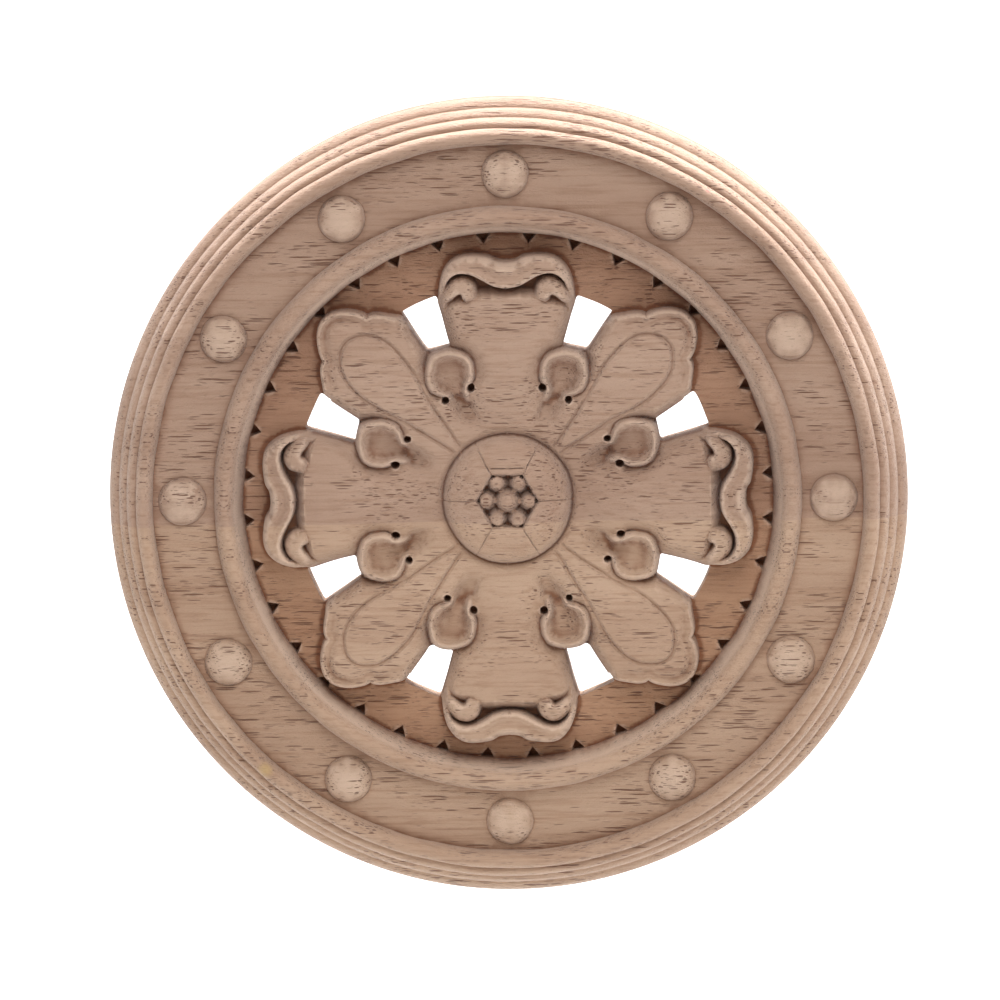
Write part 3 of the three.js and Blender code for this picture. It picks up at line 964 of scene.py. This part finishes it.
@dataclass(frozen=True)
class Pellets:
    """The twelve half-round pellets on the frieze.

    Attributes:
        circle: Radius of the circle on which they stand.
        radius: Radius of a pellet.
        rise: Height of a pellet over the frieze.
        groove: Depth of the fine groove around it.
        shares: Circles of mesh points, as shares of its radius.
    """

    circle: float = 81.2
    radius: float = 5.95
    rise: float = 3.0
    groove: float = 0.25
    shares: tuple[float, ...] = (1.035, 1.0, 0.93, 0.82, 0.66, 0.45, 0.22)

    def features(self) -> list[Feature]:
        """Circles of the two pellets in an eighth of the frieze.

        Returns:
            One feature for each circle.
        """
        features = []
        for turn in (90, 60):
            x, y = (self.circle * f(math.radians(turn)) for f in (math.cos, math.sin))
            for share in self.shares:
                around = np.linspace(0, 2 * math.pi, 2 * max(4, round(20 * share)) + 1)
                reach = self.radius * share
                ring = np.column_stack([x + reach * np.sin(around), y + reach * np.cos(around)])
                features.append(Feature(ring))
        return features

    def stops(self) -> list[float]:
        """Places on the +Y axis at which the circles of a pellet cross it."""
        return [
            self.circle + side * share * self.radius for share in self.shares for side in (-1, 1)]

    def height(self, points: np.ndarray) -> np.ndarray:
        """Heights over the frieze.

        Args:
            points: Array of (x, y) rows.

        Returns:
            The heights, one for each point, negative in the grooves.
        """
        radius = np.hypot(*points.T)
        turn = np.degrees(np.arctan2(points[:, 0], points[:, 1]))
        fold = np.radians(np.abs((turn + 15) % 30 - 15))
        away = np.hypot(radius * np.cos(fold) - self.circle, radius * np.sin(fold)) / self.radius
        pellet = self.rise * np.sqrt(np.clip(1 - away**2, 0, 1))
        return pellet - self.groove * np.clip(1 - np.abs(away - 1.01) / 0.03, 0, 1)


@dataclass(frozen=True)
class CarvedRosette:
    """The whole rosette as one closed mesh.

    Attributes:
        moulding: The shared sizes, the rim and the ring.
        button: The button in the middle.
        pellets: The pellets on the frieze.
        flower: The flower and the floor.
        fill: Distance between the flower's mesh points away from its lines.
        waves: Unevenness of hand work, as two wave numbers and a phase for each wave.
        sway: Height of a wave along the face, and out of it.
        sharp: Angle in degrees above which an edge is shaded sharp.
    """

    moulding: Moulding = Moulding()
    button: Button = Button()
    pellets: Pellets = Pellets()
    flower: Flower = field(default_factory=Flower)
    fill: float = 0.66
    waves: Rows = (
        (0.31, 0.12, 0.4), (-0.17, 0.29, 1.9), (0.08, -0.41, 3.1), (0.47, 0.33, 5.2),
        (-0.62, 0.21, 0.9),
    )
    sway: tuple[float, float] = (0.045, 0.022)
    sharp: float = 38.0

    @staticmethod
    def eighth(inner: float, outer: float, features: list[Feature], spacing: float,
               stops: Sequence[float] = ()) -> Plan:
        """One eighth of the plan between two circles, from 45 to 90 degrees.

        Args:
            inner: Radius of the inner circle.
            outer: Radius of the outer circle.
            features: Lines that the mesh follows.
            spacing: Distance between its points elsewhere.
            stops: Places on the +Y axis that have to be points.

        Returns:
            The eighth as a Plan.
        """
        straight = even_line([(0, inner), (0, outer)], min(spacing, 0.7))[:, 1:]
        clear = [
            place for place in straight[:, 0] if all(abs(place - stop) > 0.3 for stop in stops)]
        to_outer = np.array([(0, place) for place in sorted([*clear, *stops])])
        diagonal = straight * np.array([1, 1]) / math.sqrt(2)
        outline = np.vstack([
            arc(inner, 90, 45)[:-1], diagonal[:-1], arc(outer, 45, 90)[:-1], to_outer[::-1][:-1]])
        return Plan.wedge(outline, features, spacing)

    def plan(self) -> Plan:
        """Plan of the carved face.

        Returns:
            The flower, frieze, button, rim and ring as one plan.
        """
        sizes = self.moulding
        flower = self.eighth(sizes.button, sizes.plain_ring, self.flower.features(), self.fill)
        flower = flower.without(self.flower.opening).repeated(Symmetry.FLOWER, 90)
        frieze = self.eighth(sizes.ring_outer, sizes.roll_inner, self.pellets.features(), 1.7,
                             self.pellets.stops())
        frieze = frieze.repeated(Symmetry.FLOWER, 90)
        side = even_line([(0, 0), (sizes.button, 0)], 0.45)
        other_side = np.array([[math.cos(math.pi / 6), math.sin(math.pi / 6)]])
        outline = np.vstack([
            side[:-1], arc(sizes.button, 0, 30)[:-1], side[::-1][:-1, :1] * other_side])
        button = Plan.wedge(outline, self.button.features(), 0.62, 0.1)
        button = button.repeated(Symmetry.BUTTON, 0)
        rim = Plan.rings([row[0] for row in (*sizes.rim, *sizes.roll_rows()[1:])])
        ring = [row[0] for row in sizes.ring_rows() if row[0] > sizes.plain_ring + 0.05]
        return Plan.joined([flower, frieze, button, rim, Plan.rings([*ring, sizes.plain_ring])])

    def height(self, points: np.ndarray) -> np.ndarray:
        """Heights anywhere on the carved face.

        Args:
            points: Array of (x, y) rows.

        Returns:
            The heights, one for each point.
        """
        sizes = self.moulding
        radius = np.hypot(*points.T)
        height = sizes.height(radius)
        middle = radius <= sizes.button + 1e-6
        low = (radius <= sizes.plain_ring) & ~middle
        height[low] = self.flower.height(np.sort(np.abs(points[low]), axis=1))
        height[middle] = self.button.height(points[middle])
        frieze = (radius > sizes.ring_outer) & (radius < sizes.roll_inner)
        return height + np.where(frieze, self.pellets.height(points), 0)

    def carved_by_hand(self, points: np.ndarray,
                       height: np.ndarray) -> tuple[np.ndarray, np.ndarray]:
        """Points and heights moved a little, as a hand tool leaves them, less towards the edge.

        Args:
            points: Array of (x, y) rows.
            height: Their heights.

        Returns:
            The points and the heights after the move.
        """
        x, y = points.T
        along, out = self.sway
        free = np.clip((99 - np.hypot(x, y)) / 8, 0, 1)
        right = sum(np.sin(a * x + b * y + c) for a, b, c in self.waves) * along * free
        up = sum(np.sin(b * x - a * y + 2 * c) for a, b, c in self.waves) * along * free
        out = sum(np.sin(1.7 * a * x + 1.9 * b * y + 3 * c) for a, b, c in self.waves) * out * free
        return points + np.column_stack([right, up]), height + out

    @staticmethod
    def relief(height: np.ndarray, faces: list[tuple]) -> np.ndarray:
        """How far each point stands out of its surroundings.

        Args:
            height: Heights of the points.
            faces: Faces between them.

        Returns:
            Values from -1 in a crease to 1 on an arris.
        """
        sides = [(face[k - 1], face[k]) for face in faces for k in range(len(face))]
        a, b = np.unique(np.sort(np.array(sides), axis=1), axis=0).T
        count = np.maximum(np.bincount(np.concatenate([a, b]), minlength=len(height)), 1)

        def spread(values: np.ndarray) -> np.ndarray:
            """Half of each value and half of its neighbours' mean."""
            total = np.bincount(a, values[b], len(values)) + np.bincount(b, values[a], len(values))
            return 0.5 * values + 0.5 * total / count

        even = height
        for _ in range(5):
            even = spread(even)
        return spread(np.clip((height - even) / 0.5, -1, 1))

    def painted_shading(self, points: np.ndarray, height: np.ndarray,
             faces: list[tuple]) -> dict[str, np.ndarray]:
        """The two values of painted light and shade that the finish reads at each point.

        Args:
            points: Array of (x, y) rows.
            height: Their heights.
            faces: Faces between them.

        Returns:
            painted_light, from -1 in a crease, where shade is painted, to 1 on an arris, where a
            highlight is painted, and deep, 1 on the sunk floor, where shade is painted too.
        """
        sizes = self.moulding
        radius = np.hypot(*points.T)
        # Painted light from the relief: shade painted in the creases and a highlight painted on the
        # arrises, the highlight weaker on the button and stronger on the pellets.
        painted_light = self.relief(height, faces)
        painted_light = np.where((radius < sizes.button) & (painted_light > 0), 0.4 * painted_light, painted_light)
        pellets = (radius > sizes.ring_outer + 0.8) & (radius < sizes.roll_inner - 0.8)
        painted_light = np.where(pellets, painted_light * np.where(painted_light > 0, 1.8, 0.7), painted_light)
        # Painted shade on the sunk floor inside the ring, read by the finish as deep.
        floor = ramp(height, 10.5, 8.5) * ramp(radius, 41, 44)
        return {"painted_light": painted_light, "deep": floor * (radius < sizes.ring_inner + 1.5)}

    def closed(self, plan: Plan, points: np.ndarray) -> tuple[list[tuple], list[int]]:
        """Close the carved face with walls and a flat back.

        Args:
            plan: Plan of the carved face.
            points: Its points after they were moved.

        Returns:
            All faces, and the points that the back repeats, in the order of its own points.
        """
        directed = dict.fromkeys(
            (a, b) for face in plan.faces for a, b in zip(face, face[1:] + face[:1]))
        rim = [(a, b) for a, b in directed if (b, a) not in directed]
        order = list(dict.fromkeys(a for a, _ in rim))
        index = {a: i for i, a in enumerate(order)}
        first = len(points)
        walls = [(b, a, first + index[a], first + index[b]) for a, b in rim]
        edges = [(index[a], index[b]) for a, b in rim]
        vectors = [Vector(points[a]) for a in order]
        _, _, flat, source, *_ = delaunay_2d_cdt(vectors, edges, [], 0, ROUNDING)
        flat = [tuple(source[k][0] for k in face) for face in flat]
        centres = plan.points[order][np.array(flat)].mean(1)
        hidden = inside(np.sort(np.abs(centres), axis=1), self.flower.opening)
        back = [tuple(first + k for k in face[::-1]) for face, cut in zip(flat, hidden) if not cut]
        return [*plan.faces, *walls, *back], order

    def build(self) -> bpy.types.Object:
        """Make the rosette's mesh.

        Returns:
            The object, closed and smooth shaded.
        """
        plan = self.plan()
        points, height = self.carved_by_hand(plan.points, self.height(plan.points))
        faces, order = self.closed(plan, points)
        shown = np.column_stack([points[:, 0], -height, points[:, 1]])
        back = np.column_stack([points[order][:, 0], np.zeros(len(order)), points[order][:, 1]])
        mesh = bpy.data.meshes.new("carved_rosette")
        mesh.from_pydata((np.vstack([shown, back]) * MM).tolist(), [], faces)
        for name, values in self.painted_shading(points, height, plan.faces).items():
            values = np.concatenate([values, np.zeros(len(back))])
            mesh.attributes.new(name, "FLOAT", "POINT").data.foreach_set("value", values)
        piece = bpy.data.objects.new("rosette", mesh)
        bpy.context.collection.objects.link(piece)
        self.cleaned(piece)
        log.info("rosette: %d points, %d triangles", len(mesh.vertices),
                 sum(len(face.vertices) - 2 for face in mesh.polygons))
        return piece

    def cleaned(self, piece: bpy.types.Object) -> None:
        """Drop unused points, turn the faces outwards and shade the piece.

        Args:
            piece: The object, which is changed.
        """
        bpy.ops.object.select_all(action="DESELECT")
        bpy.context.view_layer.objects.active = piece
        piece.select_set(True)
        bpy.ops.object.mode_set(mode="EDIT")
        bpy.ops.mesh.select_all(action="SELECT")
        bpy.ops.mesh.delete_loose(use_verts=True, use_edges=True, use_faces=False)
        bpy.ops.mesh.select_all(action="SELECT")
        bpy.ops.mesh.normals_make_consistent(inside=False)
        bpy.ops.object.mode_set(mode="OBJECT")
        bpy.ops.object.shade_smooth_by_angle(angle=math.radians(self.sharp))


@dataclass(frozen=True)
class WoodFinish:
    """Looks of bare carved wood, lengths in millimetres and the grain along X.

    Attributes:
        upper: Colour of the upper board.
        lower: Colour of the lower board.
        streak: Colour of the reddish streaks.
        pore: Colour inside the pores.
        painted_light: Colour of the highlight painted on the arrises.
        joint: Height of the glued joint between the boards at X = 0, and its slope.
        marks: Small stains and nicks as (place, size, colour).
        roughness: Roughness of the sanded wood.
    """

    upper: Colour = (0.51, 0.340, 0.246, 1)
    lower: Colour = (0.57, 0.384, 0.266, 1)
    streak: Colour = (0.33, 0.18, 0.115, 1)
    pore: Colour = (0.17, 0.066, 0.032, 1)
    painted_light: Colour = (0.80, 0.60, 0.46, 1)
    joint: tuple[float, float] = (-5.45, 0.006)
    marks: tuple[tuple[tuple[float, float, float], float, Colour], ...] = (
        ((-61.0, -18.4, -67.0), 2.6, (0.60, 0.40, 0.16, 1)),
        ((-55.0, -18.2, -73.2), 1.1, (0.16, 0.08, 0.05, 1)),
        ((50.0, -17.9, 76.8), 1.0, (0.62, 0.20, 0.18, 1)),
    )
    roughness: float = 0.62

    def material(self, name: str) -> bpy.types.Material:
        """Make the material.

        Args:
            name: Name of the material.

        Returns:
            The new material.
        """
        material = bpy.data.materials.new(name)
        material.use_nodes = True
        graph = Graph(material.node_tree)
        place = graph.mapped((1000, 1000, 1000))

        tone = graph.noise(place, (0.012, 0.05, 0.05), 3, 0.55)
        board = self.board(graph, place)
        colour = graph.mix(board, self.lower, self.upper)
        colour = graph.multiply(graph.band(tone, 0.3, 0.72), colour, (0.82, 0.77, 0.74, 1))
        fine = graph.noise(place, (0.06, 1.3, 1.3), 3, 0.6)
        colour = graph.multiply(graph.band(fine, 0.42, 0.75), colour, (0.82, 0.76, 0.71, 1))
        # Painted shade: the sunk floor is tinted darker and warmer.
        colour = graph.multiply(graph.attribute("deep"), colour, (0.99, 0.87, 0.77, 1))
        painted_light = graph.attribute("painted_light")
        # Painted shade: the creases are darkened towards a deep brown.
        hollow = graph.band(graph.scaled(painted_light, -1.0), 0.14, 0.85, 0.92)
        colour = graph.multiply(hollow, colour, (0.52, 0.34, 0.24, 1))
        # Painted highlight: the arrises are mixed towards a pale colour.
        colour = graph.mix(graph.band(painted_light, 0.2, 1.0, 0.5), colour, self.painted_light)
        streak = graph.noise(place, (0.035, 0.75, 0.75), 2, 0.5, 7.0)
        colour = graph.mix(graph.band(streak, 0.66, 0.74, 0.55), colour, self.streak)

        density = graph.noise(place, (0.03, 0.12, 0.12), 2, 0.5, 3.0)
        pores = graph.pores(place, density, (0.085, 1.35, 1.35), 0.30)
        small = graph.pores(place, density, (0.2, 2.6, 2.6), 0.28)
        colour = graph.mix(graph.scaled(pores, 0.8), colour, self.pore)
        colour = graph.mix(graph.scaled(small, 0.6), colour, self.pore)
        for centre, size, tint in self.marks:
            colour = graph.mix(graph.spot(place, centre, size), colour, tint)
        fuzz = graph.noise(place, (1.4, 2.6, 2.6), 4, 0.65)
        tools = graph.noise(place, (0.35, 0.5, 0.5), 2, 0.5, 5.0)

        height = graph.sum((fuzz, 0.5), (tools, 0.34), (fine, 0.26), (pores, -0.36), (small, -0.18))
        bump = graph.add("ShaderNodeBump", Height=height)
        bump.inputs["Distance"].default_value = 0.001
        bump.inputs["Strength"].default_value = 0.8
        shader = material.node_tree.nodes["Principled BSDF"]
        shader.inputs["Roughness"].default_value = self.roughness
        shader.inputs["Specular IOR Level"].default_value = 0.4
        shader.inputs["Sheen Weight"].default_value = 0.25
        shader.inputs["Sheen Roughness"].default_value = 0.5
        graph.tree.links.new(colour, shader.inputs["Base Color"])
        graph.tree.links.new(bump.outputs["Normal"], shader.inputs["Normal"])
        return material

    def board(self, graph: "Graph", place: Socket) -> Socket:
        """Share of the upper board.

        Args:
            graph: The material's nodes.
            place: Place in millimetres.

        Returns:
            1 above the joint and 0 under it.
        """
        x, _, z = graph.separate(place)
        joint = graph.math("MULTIPLY_ADD", x, self.joint[1], self.joint[0])
        return graph.band(graph.math("SUBTRACT", z, joint), -0.15, 0.15)


class Graph:
    """Short calls that add nodes to a material."""

    def __init__(self, tree: bpy.types.NodeTree) -> None:
        """Keep the node tree that the calls add to."""
        self.tree = tree

    def add(self, kind: str, **inputs: object) -> bpy.types.Node:
        """Add a node.

        Args:
            kind: Type of the node.
            **inputs: Its inputs by name, as sockets or values.

        Returns:
            The new node.
        """
        node = self.tree.nodes.new(kind)
        for name, value in inputs.items():
            self.feed(node.inputs[name.replace("_", " ")], value)
        return node

    def feed(self, socket: Socket, value: object) -> None:
        """Link a socket to an input, or set the input's value.

        Args:
            socket: The input.
            value: A socket to link, or a value.
        """
        if isinstance(value, Socket):
            self.tree.links.new(value, socket)
        else:
            socket.default_value = value

    def mapped(self, scale: tuple[float, ...], place: Socket | None = None) -> Socket:
        """Object coordinates, or a given place, times a scale for each axis."""
        place = place or self.add("ShaderNodeTexCoord").outputs["Object"]
        return self.add("ShaderNodeMapping", Vector=place, Scale=scale).outputs[0]

    def noise(self, place: Socket, scale: tuple[float, ...], detail: float, roughness: float,
              offset: float = 0.0) -> Socket:
        """Noise, stretched by its scale along each axis.

        Args:
            place: Place in millimetres.
            scale: Noise cells for each millimetre along each axis.
            detail: Number of finer layers.
            roughness: Strength of the finer layers.
            offset: Shift that makes it another noise.

        Returns:
            The noise.
        """
        mapping = self.add("ShaderNodeMapping", Vector=place, Scale=scale, Location=(offset,) * 3)
        return self.add("ShaderNodeTexNoise", Vector=mapping.outputs[0], Scale=1.0, Detail=detail,
                        Roughness=roughness).outputs["Fac"]

    def pores(self, place: Socket, density: Socket, scale: tuple[float, ...],
              radius: float) -> Socket:
        """Long thin cells, none where the density is low.

        Args:
            place: Place in millimetres.
            density: Share of the cells' size that shows.
            scale: Cells for each millimetre along each axis.
            radius: Radius of a pore, as a share of a cell.

        Returns:
            1 inside a pore and 0 outside.
        """
        mapping = self.mapped(scale, place)
        cells = self.add("ShaderNodeTexVoronoi", Vector=mapping, Scale=1.0).outputs["Distance"]
        reach = self.math("MULTIPLY", self.band(density, 0.28, 0.58), radius)
        inner = self.math("SUBTRACT", reach, cells)
        return self.band(inner, 0.0, radius * 0.3)

    def attribute(self, name: str) -> Socket:
        """A value kept at the mesh's points.

        Args:
            name: Name of the value.

        Returns:
            The value.
        """
        node = self.tree.nodes.new("ShaderNodeAttribute")
        node.attribute_name = name
        return node.outputs["Fac"]

    def spot(self, place: Socket, centre: tuple[float, ...], size: float) -> Socket:
        """Share of a soft round spot.

        Args:
            place: Place in millimetres.
            centre: Middle of the spot.
            size: Its radius.

        Returns:
            The share, 0 outside the spot.
        """
        away = self.tree.nodes.new("ShaderNodeVectorMath")
        away.operation = "DISTANCE"
        self.tree.links.new(place, away.inputs[0])
        away.inputs[1].default_value = centre
        near = self.math("SUBTRACT", size, away.outputs["Value"])
        return self.band(near, 0.0, 0.8 * size, 0.6)

    def band(self, value: Socket, low: float, high: float, top: float = 1.0) -> Socket:
        """Smooth step.

        Args:
            value: The value that rises.
            low: Value at which the step starts.
            high: Value at which it ends.
            top: What it rises to, from 0.

        Returns:
            The step.
        """
        node = self.add("ShaderNodeMapRange", Value=value)
        node.interpolation_type = "SMOOTHSTEP"
        for name, number in (("From Min", low), ("From Max", high), ("To Max", top)):
            node.inputs[name].default_value = number
        return node.outputs["Result"]

    def math(self, operation: str, *values: object) -> Socket:
        """Result of one math node.

        Args:
            operation: What the node does.
            *values: Its inputs, as sockets or numbers.

        Returns:
            The result.
        """
        node = self.tree.nodes.new("ShaderNodeMath")
        node.operation = operation
        for socket, value in zip(node.inputs, values):
            self.feed(socket, value)
        return node.outputs[0]

    def scaled(self, value: Socket, factor: float) -> Socket:
        """A value times a factor."""
        return self.math("MULTIPLY", value, factor)

    def sum(self, *terms: tuple[Socket, float]) -> Socket:
        """Sum of some values.

        Args:
            *terms: Each value with its factor.

        Returns:
            The sum.
        """
        total = 0.0
        for value, factor in terms:
            total = self.math("MULTIPLY_ADD", value, factor, total)
        return total

    def separate(self, vector: Socket) -> Sequence[Socket]:
        """The X, Y and Z of a vector."""
        return self.add("ShaderNodeSeparateXYZ", Vector=vector).outputs

    def mix(self, share: Socket, below: Socket | Colour, above: Socket | Colour,
            blend: str = "MIX") -> Socket:
        """Colour between two colours.

        Args:
            share: Share of the colour above.
            below: The colour at a share of 0.
            above: The colour laid over it.
            blend: How it is laid over.

        Returns:
            The colour.
        """
        node = self.tree.nodes.new("ShaderNodeMix")
        node.data_type = "RGBA"
        node.blend_type = blend
        for i, value in ((0, share), (6, below), (7, above)):
            self.feed(node.inputs[i], value)
        return node.outputs[2]

    def multiply(self, share: Socket, below: Socket, tint: Colour) -> Socket:
        """Colour darkened by a tint where the share is high."""
        return self.mix(share, below, tint, "MULTIPLY")


@dataclass(frozen=True)
class Studio:
    """Backdrop, light and camera, in metres.

    Attributes:
        lamps: Name, place, size and power of each soft light.
        surround: Strength of the pale light from all round.
        floor: Height of the backdrop's floor.
        bend: Radius of the sweep from the floor up to the wall.
        target: Place that the camera faces.
        distance: Distance of the camera from it.
        elevation: Angle of the camera over the rosette's axis, in degrees.
        aside: Angle of the camera to the right of it.
        roll: Turn of the camera around its own axis.
        view: Width of the view at the target.
    """

    lamps: tuple[tuple[str, tuple[float, float, float], float, float], ...] = (
        ("front", (0.1, -0.95, 0.7), 0.5, 3.0),
        ("low", (0.05, -1.05, -0.42), 0.5, 2.1),
        ("above", (0.12, -0.5, 0.9), 0.7, 3.4),
        ("edge", (0.12, 0.22, 0.9), 0.5, 26),
        ("right", (1.0, 0.05, 0.3), 0.8, 6.0),
        ("left", (-1.0, 0.0, 0.3), 0.8, 3.2),
    )
    surround: float = 0.38
    floor: float = -0.75
    bend: float = 1.0
    target: tuple[float, float, float] = (-0.0020, -0.01, -0.0005)
    distance: float = 1.4
    elevation: float = 6.8
    aside: float = 1.3
    roll: float = -0.5
    view: float = 0.2498

    def build(self) -> None:
        """Make the backdrop, the lights and the camera."""
        self.backdrop()
        self.light()
        self.camera()

    def backdrop(self) -> None:
        """Make the pale floor that sweeps up behind the rosette, brighter at its far end."""
        bpy.ops.mesh.primitive_grid_add(
            x_subdivisions=2, y_subdivisions=40, size=2, location=(0, 0, 0))
        sweep = bpy.context.object
        sweep.name = "backdrop"
        for vertex in sweep.data.vertices:
            run = (vertex.co.y + 1) / 2 * 6.0 - 2.0
            bend = min(max(run - 1.2, 0), 1.57) / 1.57 * math.pi / 2
            height = (1 - math.cos(bend)) * self.bend + max(run - 2.77, 0)
            forward = min(run, 1.2) + math.sin(bend) * self.bend
            vertex.co = (vertex.co.x * 4, forward, height + self.floor)
        bpy.ops.object.shade_smooth()
        for name, glow in (("backdrop", 0.0), ("backdrop_far", 0.9)):
            material = bpy.data.materials.new(name)
            material.use_nodes = True
            shader = material.node_tree.nodes["Principled BSDF"]
            shader.inputs["Base Color"].default_value = (0.8, 0.8, 0.8, 1)
            shader.inputs["Roughness"].default_value = 0.9
            shader.inputs["Emission Color"].default_value = (1, 1, 1, 1)
            shader.inputs["Emission Strength"].default_value = glow
            sweep.data.materials.append(material)
        for face in sweep.data.polygons:
            face.material_index = int(face.center.y > 0.4)
        sweep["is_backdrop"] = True

    def light(self) -> None:
        """Make the square lights that face the rosette, and a pale surround."""
        world = bpy.data.worlds.new("surround")
        bpy.context.scene.world = world
        world.use_nodes = True
        surround = world.node_tree.nodes["Background"]
        surround.inputs["Color"].default_value = (1, 0.98, 0.96, 1)
        surround.inputs["Strength"].default_value = self.surround
        for name, location, size, power in self.lamps:
            bpy.ops.object.light_add(type="AREA", location=location)
            lamp = bpy.context.object
            lamp.name = name
            lamp.data.size = size
            lamp.data.energy = power
            lamp.rotation_euler = (-lamp.location).to_track_quat("-Z", "Y").to_euler()
        bpy.context.scene.view_settings.view_transform = "Standard"

    def camera(self) -> None:
        """Make the camera, a little above the rosette's axis."""
        data = bpy.data.cameras.new("camera")
        camera = bpy.data.objects.new("camera", data)
        bpy.context.collection.objects.link(camera)
        elevation, aside = math.radians(self.elevation), math.radians(self.aside)
        aim = Vector((math.sin(aside), -math.cos(aside) * math.cos(elevation), math.sin(elevation)))
        camera.location = Vector(self.target) + self.distance * aim
        camera.rotation_euler = aim.to_track_quat("Z", "Y").to_euler()
        camera.rotation_euler.rotate_axis("Z", math.radians(self.roll))
        data.sensor_width = 36
        data.lens = data.sensor_width * self.distance / self.view
        bpy.context.scene.camera = camera


def main() -> None:
    """Build the scene in the frame."""
    logging.basicConfig(level=logging.INFO)
    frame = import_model()
    log.info("frame: %d nodes", len(frame["nodes"]))
    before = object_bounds()
    rosette = CarvedRosette().build()
    rosette.data.materials.append(WoodFinish().material("carved_wood"))
    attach(rosette, "root")
    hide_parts("carved_rosette")
    log.info("rosette: dressed in carved_wood")
    Studio().build()
    log.info("studio: backdrop, lights and camera")
    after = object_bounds()
    boxes = {"cad": before, "visual": after}
    boxes = {name: [list(corner) for corner in box] for name, box in boxes.items()}


if __name__ == "__main__":
    main()
